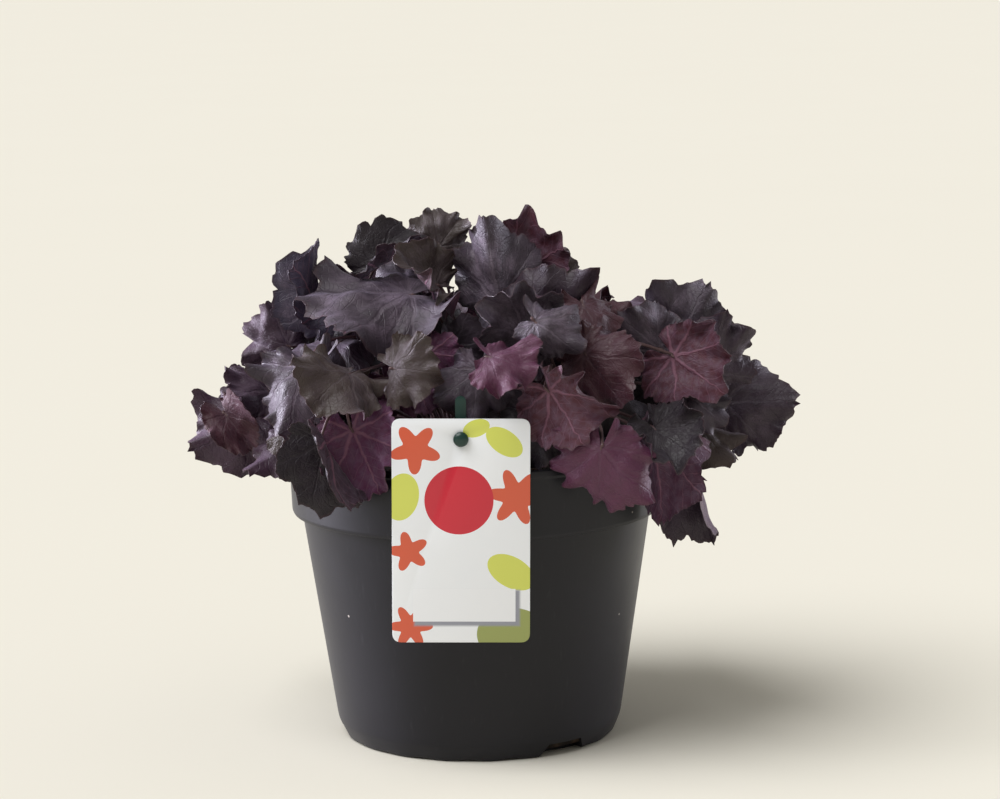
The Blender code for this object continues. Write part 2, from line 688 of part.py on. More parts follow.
def inner_radius(z):
    """The pot's inside radius at z, read from its profile."""
    walls = [(point_z, radius) for radius, point_z in pot_profile()[8:13]]
    for (high_z, high_r), (low_z, low_r) in zip(walls, walls[1:]):
        if low_z <= z <= high_z and high_z > low_z:
            return low_r + (high_r - low_r) * (z - low_z) / (high_z - low_z)
    return walls[0][1]


def make_pot():
    black = material("black_plastic", (0.016, 0.016, 0.018), 0.42)
    pot = mesh_object("pot", *turned(pot_profile(), POT_SIDES), black)
    cutters = []
    for number, azimuth in enumerate(SLOT_AZIMUTHS):
        foot, top = SLOT_FOOT_WIDTH / 2, SLOT_TOP_WIDTH / 2
        shape = [(-foot, -2.0), (foot, -2.0), (top, SLOT_HEIGHT), (-top, SLOT_HEIGHT)]
        points, faces = prism(shape, FOOT_RADIUS - SLOT_DEPTH, CHAMFER_RADIUS + 4.0)
        angle = math.radians(azimuth)
        outward = np.array([math.cos(angle), math.sin(angle), 0.0])
        across = np.array([-math.sin(angle), math.cos(angle), 0.0])
        upward = np.array([0.0, 0.0, 1.0])
        turned_points = points[:, :1] * across + points[:, 1:2] * upward + points[:, 2:] * outward
        cutters.append(mesh_object(f"slot_{number}", turned_points, faces, pot.data.materials[0]))
    for number in range(DRAIN_HOLES):
        angle = 2 * math.pi * (number + 0.5) / DRAIN_HOLES
        x, y = DRAIN_HOLE_RING * math.cos(angle), DRAIN_HOLE_RING * math.sin(angle)
        hole = prism(circle(DRAIN_HOLE_RADIUS, 12, x, y), -2.0, FLOOR_Z + 2.0)
        cutters.append(mesh_object(f"hole_{number}", *hole, pot.data.materials[0]))
    apply_boolean(pot, "DIFFERENCE", cutters)
    return pot


def soil_solid():
    """The compost: it fills the pot and has a round hollow for the crown."""
    top = SOIL_TOP + SOIL_MOUND
    crown_edge = CROWN_RADIUS + GAP
    profile = [(0.0, top - CROWN_SINK - GAP), (0.0, FLOOR_Z + GAP)]
    for z in (FLOOR_Z + GAP, CHAMFER_Z + 2.0, BAND_FOOT_Z + WALL - 1.0):
        profile.append((inner_radius(z + 0.1) - GAP - 0.3, z))
    profile += [
        (BODY_TOP_RADIUS - WALL - GAP - 0.3, BAND_FOOT_Z + WALL + GAP),
        (BAND_FOOT_RADIUS - WALL - GAP - 0.5, BAND_FOOT_Z + WALL + GAP),
        (inner_radius(SOIL_TOP) - GAP - 0.3, SOIL_TOP),
        (75.0, SOIL_TOP + 2.5),
        (crown_edge, top),
        (crown_edge, top - CROWN_SINK - GAP),
    ]
    return turned(profile, POT_SIDES)


def crown_solid():
    """The woody crown: a low dome on a short round base."""
    sphere = (CROWN_RADIUS**2 + CROWN_RISE**2) / (2 * CROWN_RISE)
    base = SOIL_TOP + SOIL_MOUND
    edge = math.asin(CROWN_RADIUS / sphere)
    profile = [(0.0, base - CROWN_SINK), (CROWN_RADIUS, base - CROWN_SINK)]
    for step in range(5):
        angle = edge * (1 - step / 5)
        profile.append((sphere * math.sin(angle), base + CROWN_RISE - sphere * (1 - math.cos(angle))))
    profile.append((0.0, base + CROWN_RISE))
    return turned(profile, CROWN_SIDES)


def label_outline():
    corners = []
    reach_x, reach_z = LABEL_WIDTH / 2 - LABEL_CORNER, LABEL_HEIGHT / 2 - LABEL_CORNER
    for centre_x, centre_z, start in ((1, -1, -90), (1, 1, 0), (-1, 1, 90), (-1, -1, 180)):
        for step in range(5):
            angle = math.radians(start + 90 * step / 4)
            x = centre_x * reach_x + LABEL_CORNER * math.cos(angle)
            corners.append((x, centre_z * reach_z + LABEL_CORNER * math.sin(angle)))
    return corners


def upright(points, x, y, z):
    """Turns a prism's points so that it stands: its outline in X and Z, its thickness along Y."""
    return np.stack([points[:, 0] + x, y - points[:, 2], points[:, 1] + z], axis=1)


def pin_height():
    """The height of the peg's pin: the label hangs on it by the top of its hole."""
    return LABEL_TOP_Z - LABEL_HOLE_DROP + LABEL_HOLE_RADIUS - PEG_PIN_RADIUS - GAP


def label_card(berth=0.0):
    """The card without its hole, turned a little about its pin, with a berth before and behind it."""
    points, faces = prism(label_outline(), -berth, LABEL_THICKNESS + berth)
    points = upright(points, 0.0, LABEL_Y, LABEL_TOP_Z - LABEL_HEIGHT / 2 - pin_height())
    tilt = math.radians(LABEL_TILT)
    x = points[:, 0] * math.cos(tilt) + points[:, 2] * math.sin(tilt)
    z = points[:, 2] * math.cos(tilt) - points[:, 0] * math.sin(tilt)
    return np.stack([x + LABEL_X, points[:, 1], z + pin_height()], axis=1), faces


def make_label():
    finish = material("label_card", (0.80, 0.82, 0.84), 0.35)
    label = mesh_object("label", *label_card(), finish)
    hole, faces = prism(circle(LABEL_HOLE_RADIUS, 16), -3.0, 3.0 + LABEL_THICKNESS)
    hole = upright(hole, LABEL_X, LABEL_Y, LABEL_TOP_Z - LABEL_HOLE_DROP)
    apply_boolean(label, "DIFFERENCE", [mesh_object("label_hole", hole, faces, finish)])


def peg_stake(extra):
    """The peg's flat stake, pointed below and round above, made larger all round by extra."""
    half, shoulder = PEG_WIDTH / 2 + extra, PEG_FOOT_Z + 12.0
    stake = [(-1.0 - extra, PEG_FOOT_Z - extra), (1.0 + extra, PEG_FOOT_Z - extra), (half, shoulder)]
    for angle in np.linspace(0, math.pi, 7):
        stake.append((half * math.cos(angle), PEG_TOP_Z - PEG_WIDTH / 2 + half * math.sin(angle)))
    stake.append((-half, shoulder))
    points, faces = prism(stake, -PEG_THICKNESS / 2 - extra, PEG_THICKNESS / 2 + extra)
    return upright(points, LABEL_X, PEG_Y, 0.0), faces


def peg_solids():
    """The peg's stake, its pin through the label and the round head that keeps the label on."""
    pin_z = pin_height()
    solids = [peg_stake(0.0)]
    front = LABEL_Y - LABEL_THICKNESS
    points, faces = prism(circle(PEG_PIN_RADIUS, 12), 0.0, PEG_Y - front + GAP + 0.6)
    solids.append((upright(points, LABEL_X, PEG_Y, pin_z), faces))
    rim = PEG_HEAD_RADIUS
    head = [(0.0, 0.0), (rim, 0.0), (rim, 1.2), (rim * 0.6, 3.0), (0.0, 3.6)]
    points, faces = turned(head, 14)
    solids.append((upright(points, LABEL_X, front - GAP, pin_z), faces))
    return solids


def leaf_makers():
    """One maker a leaf: it gives the blade for a shift along its way, a turn and a size."""
    makers = [partial(front_blade, leaf) for leaf in FRONT_LEAVES]
    for tier in BACK_TIERS:
        makers += [partial(back_blade, tier, number) for number in range(tier.leaves)]
    return makers


def hangs_over_rim(leaf):
    return leaf.z < 188 and leaf.tip <= -65


def main():
    for old in list(bpy.data.objects):
        bpy.data.objects.remove(old)
    compost = material("compost", (0.030, 0.020, 0.014), 0.95)
    green = material("green_plastic", (0.010, 0.060, 0.045), 0.35)
    wood = material("crown_wood", (0.060, 0.030, 0.022), 0.8)
    finishes = {tone: material("leaf_" + tone, colour, 0.5) for tone, colour in TONES.items()}

    make_pot()
    soil = mesh_object("soil", *soil_solid(), compost)
    apply_boolean(soil, "DIFFERENCE", [mesh_object("stake_hole", *peg_stake(GAP), compost)])
    make_label()
    peg, *rest = [mesh_object("label_peg", *solid, green) for solid in peg_solids()]
    apply_boolean(peg, "UNION", rest)

    clutter, crown_dome = Clutter(), Clutter()
    crown_dome.add(*crown_solid(), -1)
    for solid in (turned(pot_profile(), POT_SIDES), soil_solid(), label_card(LABEL_BERTH), *peg_solids()):
        clutter.add(*solid, -1)
    first = [number for number, leaf in enumerate(FRONT_LEAVES) if hangs_over_rim(leaf)]
    blades, paths = set_out(leaf_makers(), first, clutter, crown_dome)

    crown = mesh_object("crown", *crown_solid(), wood)
    young, number = [], 0
    for blade, path in zip(blades, paths):
        if path is None:
            continue
        number += 0 if is_young(blade) else 1
        name = "young_leaf" if is_young(blade) else f"leaf_{number:02d}"
        leaf = mesh_object(name, *whole_leaf(blade, path), finishes[blade.tone])
        if is_young(blade):
            young.append(leaf)
    apply_boolean(crown, "UNION", young)


main()
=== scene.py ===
"""The looks of a heuchera with dark ruffled leaves in a round black nursery pot, with its hanging label.

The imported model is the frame. Sizes are in millimetres up to the meshes, which are in metres, as the frame
is. Each leaf, the pot, the compost, the crown, the label and the peg is made anew here, finer, where its
node is.
"""

import math
import random
from collections import namedtuple
from functools import partial, reduce

import bmesh
import bpy
import numpy as np
from mathutils import Matrix, Vector, kdtree


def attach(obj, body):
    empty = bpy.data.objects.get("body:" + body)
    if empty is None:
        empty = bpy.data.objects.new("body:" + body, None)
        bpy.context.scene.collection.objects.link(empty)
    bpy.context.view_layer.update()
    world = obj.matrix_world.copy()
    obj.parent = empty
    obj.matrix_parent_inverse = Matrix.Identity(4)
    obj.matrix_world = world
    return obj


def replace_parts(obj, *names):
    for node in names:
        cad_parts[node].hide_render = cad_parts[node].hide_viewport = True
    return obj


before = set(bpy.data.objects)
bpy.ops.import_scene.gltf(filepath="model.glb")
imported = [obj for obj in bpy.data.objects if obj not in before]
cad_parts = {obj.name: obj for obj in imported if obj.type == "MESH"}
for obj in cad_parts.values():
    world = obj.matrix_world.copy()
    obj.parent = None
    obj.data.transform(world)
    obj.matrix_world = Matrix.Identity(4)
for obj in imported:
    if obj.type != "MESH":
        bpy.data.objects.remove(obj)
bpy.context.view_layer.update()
MM = 0.001

# The pot. A round nursery pot moulded in thin black polypropylene, with a deep band at the rim and a
# bevelled foot, which has drain slots in it. It is satin, with scuffs, and with specks of dust and compost.

POT_HEIGHT = 180.0
RIM_RADIUS = 115.0
LIP_HEIGHT = 5.0
LIP_PROUD = 1.0
BAND_FOOT_Z = 139.5
BAND_FOOT_RADIUS = 112.6
BODY_TOP_RADIUS = 106.6
CHAMFER_Z = 10.5
CHAMFER_RADIUS = 87.4
FOOT_RADIUS = 83.0
WALL = 1.6
FLOOR_Z = 4.5
POT_SIDES = 240
FOOT_WAVES = 19
FOOT_WAVE = 1.3  # how far the foot's edge lifts between its low spots
FOOT_WAVE_REACH = 14.0  # how far in from the foot's edge the waves fade out
SLOT_AZIMUTHS = (-53.0, 67.0, 187.0)  # degrees, from +X towards +Y
SLOT_HEIGHT = 8.0
SLOT_FOOT_WIDTH = 35.5
SLOT_TOP_WIDTH = 24.0
SLOT_DEPTH = 9.0
DRAIN_HOLE_RADIUS = 6.0
DRAIN_HOLE_RING = 38.0
DRAIN_HOLES = 4


def new_object(name, data):
    made = bpy.data.objects.new(name, data)
    bpy.context.scene.collection.objects.link(made)
    return made


def mesh_object(name, points, faces, finishes, smooth=True):
    """A mesh object at the origin, from points in millimetres."""
    mesh = bpy.data.meshes.new(name)
    mesh.from_pydata((np.asarray(points, float) * MM).tolist(), [], [tuple(face) for face in faces])
    for finish in finishes:
        mesh.materials.append(finish)
    if smooth:
        mesh.shade_smooth()
    return new_object(name, mesh)


def applied(made):
    """The object with its modifiers worked into its mesh."""
    graph = bpy.context.evaluated_depsgraph_get()
    mesh = bpy.data.meshes.new_from_object(made.evaluated_get(graph))
    made.modifiers.clear()
    made.data = mesh
    return made


def turned(profile, sides):
    """A closed solid turned round +Z from a closed run of (radius, z), given anticlockwise in that plane."""
    points, faces, rings = [], [], []
    for radius, z in profile:
        if radius == 0:
            rings.append([len(points)] * sides)
            points.append((0.0, 0.0, z))
            continue
        rings.append(list(range(len(points), len(points) + sides)))
        for k in range(sides):
            angle = 2 * math.pi * k / sides
            points.append((radius * math.cos(angle), radius * math.sin(angle), z))
    for low, high in zip(rings, rings[1:] + rings[:1]):
        for k in range(sides):
            a, b, c, d = low[k], low[(k + 1) % sides], high[(k + 1) % sides], high[k]
            face = tuple(dict.fromkeys((a, b, c, d)))
            if len(face) > 2:
                faces.append(face)
    return np.array(points), faces


def rounded(corners, steps=4):
    """A run of points from corners given as (a, b, radius): each corner is rounded by a short curve."""
    run = []
    befores, afters = corners[-1:] + corners[:-1], corners[1:] + corners[:1]
    for before, (a, b, radius), after in zip(befores, corners, afters):
        corner = np.array([a, b])
        if radius == 0:
            run.append((a, b))
            continue
        ways = ((np.array(p[:2]) - corner) / math.dist(p[:2], corner) for p in (before, after))
        start, end = (corner + way * radius for way in ways)
        for t in np.linspace(0, 1, steps + 1):
            run.append(tuple(start * (1 - t) ** 2 + corner * 2 * t * (1 - t) + end * t**2))
    return run


def prism(outline, low, high):
    """A closed solid: a flat outline, anticlockwise, raised along the third coordinate from low to high."""
    count = len(outline)
    points = [(a, b, low) for a, b in outline] + [(a, b, high) for a, b in outline]
    faces = [tuple(range(count))[::-1], tuple(range(count, 2 * count))]
    faces += [(k, (k + 1) % count, (k + 1) % count + count, k + count) for k in range(count)]
    return np.array(points), faces


def circle(radius, sides, x=0.0, y=0.0):
    steps = [2 * math.pi * k / sides for k in range(sides)]
    return [(x + radius * math.cos(a), y + radius * math.sin(a)) for a in steps]


def cut(target, cutters):
    """Cuts the cutters out of the target and removes them."""
    for cutter in cutters:
        modifier = target.modifiers.new(cutter.name, "BOOLEAN")
        modifier.object = cutter
        modifier.solver = "EXACT"
        applied(target)
        bpy.data.objects.remove(cutter)


def bevelled(made, width, degrees=30):
    """The object with its edges sharper than this rounded, width in millimetres."""
    bevel = made.modifiers.new("Bevel", "BEVEL")
    bevel.width = width * MM
    bevel.segments = 2
    bevel.limit_method = "ANGLE"
    bevel.angle_limit = math.radians(degrees)
    return applied(made)


def sharpen(made, degrees):
    """Keeps edges sharper than this crisp under smooth shading."""
    made.data.shade_smooth()
    made.data.set_sharp_from_angle(angle=math.radians(degrees))


def add(tree, kind, inputs=(), **settings):
    """A node with its settings and its inputs, which are values or other nodes' outputs."""
    node = tree.nodes.new(kind)
    for name, value in settings.items():
        setattr(node, name, value)
    for key, value in dict(inputs).items():
        if isinstance(value, bpy.types.NodeSocket):
            tree.links.new(value, node.inputs[key])
        else:
            node.inputs[key].default_value = value
    return node


def work(tree, operation, *values):
    """The result of a Math node."""
    return add(tree, "ShaderNodeMath", enumerate(values), operation=operation).outputs[0]


def times(tree, *values):
    return reduce(partial(work, tree, "MULTIPLY"), values)


def plus(tree, *values):
    return reduce(partial(work, tree, "ADD"), values)


def minus(tree, first, second):
    return work(tree, "SUBTRACT", first, second)


def vectors(tree, operation, inputs):
    """The vector that a Vector Math node gives."""
    return add(tree, "ShaderNodeVectorMath", inputs, operation=operation).outputs[0]


def ramp(tree, value, from_low, from_high, to_low=0.0, to_high=1.0, smooth=True):
    """The value moved from one range to another, and kept within it."""
    inputs = {0: value, 1: from_low, 2: from_high, 3: to_low, 4: to_high}
    kind = "SMOOTHSTEP" if smooth else "LINEAR"
    return add(tree, "ShaderNodeMapRange", inputs, interpolation_type=kind).outputs[0]


def blend(tree, share, first, second):
    """One colour turning into another by share."""
    return add(tree, "ShaderNodeMix", {0: share, 6: first, 7: second}, data_type="RGBA").outputs[2]


def noise(tree, place, scale, detail=2.0):
    return add(tree, "ShaderNodeTexNoise", {"Vector": place, "Scale": scale, "Detail": detail}).outputs[0]


def rgb(red, green, blue):
    return (red, green, blue, 1.0)


def new_finish(name, **values):
    """A material, its tree, its shader with plain values on its own sockets, and the place on the object."""
    made = bpy.data.materials.new(name)
    made.use_nodes = True
    tree = made.node_tree
    shader = tree.nodes["Principled BSDF"]
    for key, value in values.items():
        shader.inputs[key.replace("_", " ")].default_value = value
    return made, tree, shader, add(tree, "ShaderNodeTexCoord").outputs["Object"]


def wire(tree, shader, **values):
    """Links nodes' outputs to the shader's sockets of those names."""
    for key, value in values.items():
        tree.links.new(value, shader.inputs[key.replace("_", " ")])


def roughen(tree, shader, height, strength, distance):
    """Gives the surface a fine relief by height, up to a distance in metres."""
    inputs = {"Height": height, "Strength": strength, "Distance": distance}
    wire(tree, shader, Normal=add(tree, "ShaderNodeBump", inputs).outputs[0])


def new_group(name, inputs, outputs):
    """An empty shader node group: its inputs are names with their kinds, its outputs names of numbers."""
    tree = bpy.data.node_groups.new(name, "ShaderNodeTree")
    for label, kind in inputs.items():
        tree.interface.new_socket(label, in_out="INPUT", socket_type=kind)
    for label in outputs:
        tree.interface.new_socket(label, in_out="OUTPUT", socket_type="NodeSocketFloat")
    return tree, tree.nodes.new("NodeGroupInput"), tree.nodes.new("NodeGroupOutput")


def dust_group():
    """Specks of dust and compost on a surface: a mask of small round spots of uneven size."""
    inputs = {"Vector": "NodeSocketVector", "Scale": "NodeSocketFloat", "Share": "NodeSocketFloat"}
    tree, given, out = new_group("dust specks", inputs, ("Specks",))
    cells = add(tree, "ShaderNodeTexVoronoi", {"Vector": given.outputs[0], "Scale": given.outputs[1]})
    split = add(tree, "ShaderNodeSeparateColor", {0: cells.outputs["Color"]})
    chosen = work(tree, "LESS_THAN", split.outputs[0], given.outputs[2])
    size = work(tree, "MULTIPLY_ADD", split.outputs[1], 0.09, 0.02)
    spot = work(tree, "LESS_THAN", cells.outputs["Distance"], size)
    tree.links.new(times(tree, chosen, spot), out.inputs[0])
    return tree


dust = dust_group()


def specks_on(tree, place, scale, share):
    inputs = {"Vector": place, "Scale": scale, "Share": share}
    return add(tree, "ShaderNodeGroup", inputs, node_tree=dust).outputs[0]


def pot_finish():
    made, tree, shader, place = new_finish("black_plastic", Specular_IOR_Level=0.30)
    cloud = noise(tree, place, 22.0, 4.0)
    grain = noise(tree, place, 900.0)
    stretched = add(tree, "ShaderNodeMapping", {"Vector": place, "Scale": (60.0, 60.0, 9.0)}).outputs[0]
    scuff = ramp(tree, noise(tree, stretched, 6.0, 6.0), 0.60, 0.78)
    specks = specks_on(tree, place, 130.0, 0.10)
    plain = blend(tree, cloud, rgb(0.0055, 0.0052, 0.0085), rgb(0.0095, 0.0090, 0.0130))
    worn = blend(tree, times(tree, scuff, 0.25), plain, rgb(0.034, 0.033, 0.038))
    dusty = blend(tree, times(tree, specks, 0.75), worn, rgb(0.42, 0.38, 0.34))
    smooth = ramp(tree, cloud, 0.2, 0.8, 0.37, 0.46)
    rough = plus(tree, smooth, times(tree, scuff, 0.08), times(tree, specks, 0.3))
    wire(tree, shader, Base_Color=dusty, Roughness=rough)
    roughen(tree, shader, plus(tree, times(tree, grain, 0.25), specks), 0.2, 0.0002)
    return made


def pot_corners():
    """The pot's section as (radius, z, rounding), anticlockwise from the middle of its underside."""
    band_top = RIM_RADIUS - LIP_PROUD
    inner_foot = CHAMFER_RADIUS - WALL - 1.0
    slope = (BODY_TOP_RADIUS - CHAMFER_RADIUS) / (BAND_FOOT_Z - CHAMFER_Z)
    return [
        (0.0, 0.0, 0),
        (FOOT_RADIUS, 0.0, 1.8),
        (CHAMFER_RADIUS, CHAMFER_Z, 2.5),
        (BODY_TOP_RADIUS, BAND_FOOT_Z - 0.8, 0.7),
        (BAND_FOOT_RADIUS - 0.8, BAND_FOOT_Z - 0.4, 0.5),
        (BAND_FOOT_RADIUS + 0.1, BAND_FOOT_Z + 1.6, 0.7),
        (band_top, POT_HEIGHT - LIP_HEIGHT, 0.8),
        (RIM_RADIUS, POT_HEIGHT - LIP_HEIGHT + 0.9, 0.5),
        (RIM_RADIUS, POT_HEIGHT, 1.1),
        (band_top - WALL, POT_HEIGHT, 1.0),
        (BAND_FOOT_RADIUS - WALL, BAND_FOOT_Z + WALL, 1.0),
        (BODY_TOP_RADIUS - WALL, BAND_FOOT_Z + WALL, 0.8),
        (inner_foot + slope * CHAMFER_Z, CHAMFER_Z + 2.0, 2.0),
        (inner_foot - 3.0, FLOOR_Z, 2.0),
        (0.0, FLOOR_Z, 0),
    ]


def make_pot():
    points, faces = turned(rounded(pot_corners()), POT_SIDES)
    angle = np.arctan2(points[:, 1], points[:, 0])
    radius = np.hypot(points[:, 0], points[:, 1])
    outer = np.clip((radius - FOOT_RADIUS + FOOT_WAVE_REACH) / FOOT_WAVE_REACH, 0, 1)
    at_edge = outer * np.clip(1 - points[:, 2] / CHAMFER_Z, 0, 1)
    crests = 0.5 + 0.5 * np.cos(FOOT_WAVES * angle)
    points[:, 2] += at_edge * FOOT_WAVE * crests * (1 + 0.4 * np.sin(3 * angle)) * 0.7
    finish = pot_finish()
    pot = mesh_object("pot_moulding", points, faces, [finish])
    for number, azimuth in enumerate(SLOT_AZIMUTHS):
        foot, top = SLOT_FOOT_WIDTH / 2, SLOT_TOP_WIDTH / 2
        shape = [(-foot, -2.0), (foot, -2.0), (top, SLOT_HEIGHT), (-top, SLOT_HEIGHT)]
        points, faces = prism(shape, FOOT_RADIUS - SLOT_DEPTH, CHAMFER_RADIUS + 4.0)
        turn = math.radians(azimuth)
        outward = np.array([math.cos(turn), math.sin(turn), 0])
        across, up = np.array([-math.sin(turn), math.cos(turn), 0]), np.array([0, 0, 1.0])
        points = points[:, :1] * across + points[:, 1:2] * up + points[:, 2:] * outward
        cut(pot, [mesh_object(f"slot_{number}", points, faces, [finish], smooth=False)])
    for number in range(DRAIN_HOLES):
        turn = 2 * math.pi * (number + 0.5) / DRAIN_HOLES
        x, y = DRAIN_HOLE_RING * math.cos(turn), DRAIN_HOLE_RING * math.sin(turn)
        hole = prism(circle(DRAIN_HOLE_RADIUS, 32, x, y), -2.0, FLOOR_Z + 2.0)
        cut(pot, [mesh_object(f"hole_{number}", *hole, [finish], smooth=False)])
    sharpen(pot, 40)
    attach(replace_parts(pot, "pot"), "root")


make_pot()

# The compost. Dark peat with crumbs and bits of bark, filled to below the rim and heaped a little towards
# the crown. The crumbs are strewn over its top.

SOIL_TOP = 165.0
SOIL_MOUND = 5.0
CROWN_RADIUS = 48.0
CROWN_RISE = 16.0
CROWN_SINK = 10.0
CRUMBS = 2600
CRUMB_SIZE = 2.6
SOIL_RINGS = 34
SOIL_SIDES = 120
STREWN_RINGS = 20
STREWN_SIDES = 48


def compost_finish(name, dark, light):
    made, tree, shader, place = new_finish(name, Roughness=0.95, Specular_IOR_Level=0.2)
    blotch = noise(tree, place, 160.0, 5.0)
    fibre = add(tree, "ShaderNodeTexVoronoi", {"Vector": place, "Scale": 420.0}).outputs[0]
    wire(tree, shader, Base_Color=blend(tree, ramp(tree, blotch, 0.35, 0.7), rgb(*dark), rgb(*light)))
    roughen(tree, shader, plus(tree, blotch, fibre), 0.7, 0.0008)
    return made


def soil_height(x, y):
    """The top of the compost at a place: heaped to the middle, with small hollows and lumps."""
    radius = np.hypot(x, y)
    heap = SOIL_TOP + SOIL_MOUND * np.clip((105 - radius) / 65, 0, 1)
    lumps = np.sin(x / 7.1 + 1.0) * np.cos(y / 6.3)
    lumps = lumps + 0.6 * np.sin(x / 3.2 + y / 4.1) * np.cos(y / 2.9 - x / 5.0)
    return heap + 0.55 * lumps


def make_compost():
    finish = compost_finish("compost", (0.012, 0.008, 0.006), (0.055, 0.036, 0.024))
    wall_radius = BAND_FOOT_RADIUS - WALL - 0.9
    shoulder = BAND_FOOT_Z + WALL + 0.4
    profile = [
        (0.0, FLOOR_Z + 0.3),
        (CHAMFER_RADIUS - 4.5, FLOOR_Z + 0.3),
        (CHAMFER_RADIUS - 2.4, CHAMFER_Z + 2.0),
        (BODY_TOP_RADIUS - WALL - 0.7, shoulder),
        (wall_radius, shoulder),
        *((wall_radius * (1 - k / SOIL_RINGS), SOIL_TOP) for k in range(SOIL_RINGS)),
        (0.0, SOIL_TOP),
    ]
    points, faces = turned(profile, SOIL_SIDES)
    top = points[:, 2] >= SOIL_TOP - 0.1
    points[top, 2] = soil_height(points[top, 0], points[top, 1])
    ground = mesh_object("compost_bed", points, faces, [finish])
    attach(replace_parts(ground, "soil"), "root")

    steps = np.linspace(0, 2 * math.pi, STREWN_SIDES, endpoint=False)
    disc = [(0.0, 0.0)]
    for k in range(STREWN_RINGS):
        reach = wall_radius * (k + 1) / STREWN_RINGS
        disc += [(reach * math.cos(a), reach * math.sin(a)) for a in steps]
    flat = np.array([(x, y, soil_height(x, y)) for x, y in disc])
    fans = [(0, 1 + k, 1 + (k + 1) % STREWN_SIDES) for k in range(STREWN_SIDES)]
    for start in range(1, 1 + (STREWN_RINGS - 1) * STREWN_SIDES, STREWN_SIDES):
        pairs = [(start + k, start + (k + 1) % STREWN_SIDES) for k in range(STREWN_SIDES)]
        fans += [(a, a + STREWN_SIDES, b + STREWN_SIDES, b) for a, b in pairs]
    bark = compost_finish("compost_crumb", (0.016, 0.010, 0.007), (0.085, 0.055, 0.036))
    crumbs = mesh_object("compost_crumbs", flat, fans, [bark], smooth=False)
    modifier = crumbs.modifiers.new("Crumbs", "NODES")
    modifier.node_group = crumb_tree(bark)
    items = modifier.node_group.interface.items_tree
    sockets = {item.name: item.identifier for item in items if item.in_out == "INPUT"}
    modifier[sockets["Crumb size"]] = CRUMB_SIZE * MM
    modifier[sockets["Crumbs"]] = CRUMBS
    applied(crumbs)
    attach(crumbs, "root")


def crumb_tree(bark):
    """Strews crumbs of uneven size over a surface."""
    tree = bpy.data.node_groups.new("strewn crumbs", "GeometryNodeTree")
    for label, kind in (("Geometry", "Geometry"), ("Crumb size", "Float"), ("Crumbs", "Int")):
        tree.interface.new_socket(label, in_out="INPUT", socket_type="NodeSocket" + kind)
    tree.interface.new_socket("Geometry", in_out="OUTPUT", socket_type="NodeSocketGeometry")
    given, out = tree.nodes.new("NodeGroupInput"), tree.nodes.new("NodeGroupOutput")
    area = math.pi * (BAND_FOOT_RADIUS * MM) ** 2
    density = work(tree, "DIVIDE", given.outputs["Crumbs"], area)
    strewn = {"Mesh": given.outputs[0], "Density": density, "Seed": 4}
    spread = add(tree, "GeometryNodeDistributePointsOnFaces", strewn).outputs["Points"]
    lump = add(tree, "GeometryNodeMeshIcoSphere", {"Radius": 0.5, "Subdivisions": 1}).outputs["Mesh"]
    squash, turn = (
        add(tree, "FunctionNodeRandomValue", limits, data_type="FLOAT_VECTOR").outputs[0]
        for limits in (
            {0: (0.35, 0.3, 0.25), 1: (1.2, 0.9, 0.7), "Seed": 5},
            {0: (0, 0, 0), 1: (6.28, 6.28, 6.28), "Seed": 6},
        )
    )
    scale = vectors(tree, "SCALE", {0: squash, "Scale": given.outputs["Crumb size"]})
    placing = {"Points": spread, "Instance": lump, "Rotation": turn, "Scale": scale}
    placed = add(tree, "GeometryNodeInstanceOnPoints", placing)
    real = add(tree, "GeometryNodeRealizeInstances", {0: placed.outputs[0]})
    painted = add(tree, "GeometryNodeSetMaterial", {"Geometry": real.outputs[0], "Material": bark})
    tree.links.new(painted.outputs[0], out.inputs[0])
    return tree


make_compost()

# The label. A stiff glossy plastic card with round corners, hung by a hole on a peg. It is printed on white
# with plain petalled shapes, ovals and a disc, and has a blank white panel.

LABEL_WIDTH = 79.5
LABEL_HEIGHT = 131.0
LABEL_THICKNESS = 0.8
LABEL_CORNER = 5.0
LABEL_X = -7.2
LABEL_TOP_Z = 212.4
LABEL_Y = -117.2
LABEL_TILT = 0.9  # degrees, its foot towards -X
LABEL_HOLE_RADIUS = 3.6
LABEL_HOLE_DROP = 12.5
PEG_PIN_RADIUS = 2.6
PEG_GAP = 0.3

ORANGE_INK = rgb(0.68, 0.105, 0.045)
LIME_INK = rgb(0.68, 0.72, 0.125)
OLIVE_INK = rgb(0.32, 0.36, 0.105)
RED_INK = rgb(0.60, 0.014, 0.036)

# One line a printed shape, from the card's middle: x and z, its two half widths, its turn in degrees, how
# many petals it has (0 for an oval), and its ink
Motif = namedtuple("Motif", "x z wide high turn petals ink")
MOTIFS = (
    Motif(-27, 48, 15, 15, 20, 5, ORANGE_INK),
    Motif(31, 20, 17, 17, 8, 6, ORANGE_INK),
    Motif(-31, -12, 12, 12, 40, 5, ORANGE_INK),
    Motif(24, 52, 12, 7, 35, 0, LIME_INK),
    Motif(8, 60, 8, 5, -20, 0, LIME_INK),
    Motif(-35, 20, 10, 14, 12, 0, LIME_INK),
    Motif(28, -24, 15, 9, 30, 0, LIME_INK),
    Motif(30, -62, 22, 17, 10, 0, OLIVE_INK),
    Motif(-30, -56, 13, 13, 0, 6, ORANGE_INK),
    Motif(-2, 18, 20, 20, 0, 0, RED_INK),
)
PETAL_DEPTH = 0.24
ANY_DEPTH = 1000.0  # half the reach of a printed shape into the card, far past its thickness
PANEL = (1.0, -43.5, 29.5, 9.6)  # the blank panel's middle and half sizes
PANEL_SHADE = 1.6
PANEL_INK = rgb(0.90, 0.92, 0.97)
SHADE_INK = rgb(0.30, 0.31, 0.37)


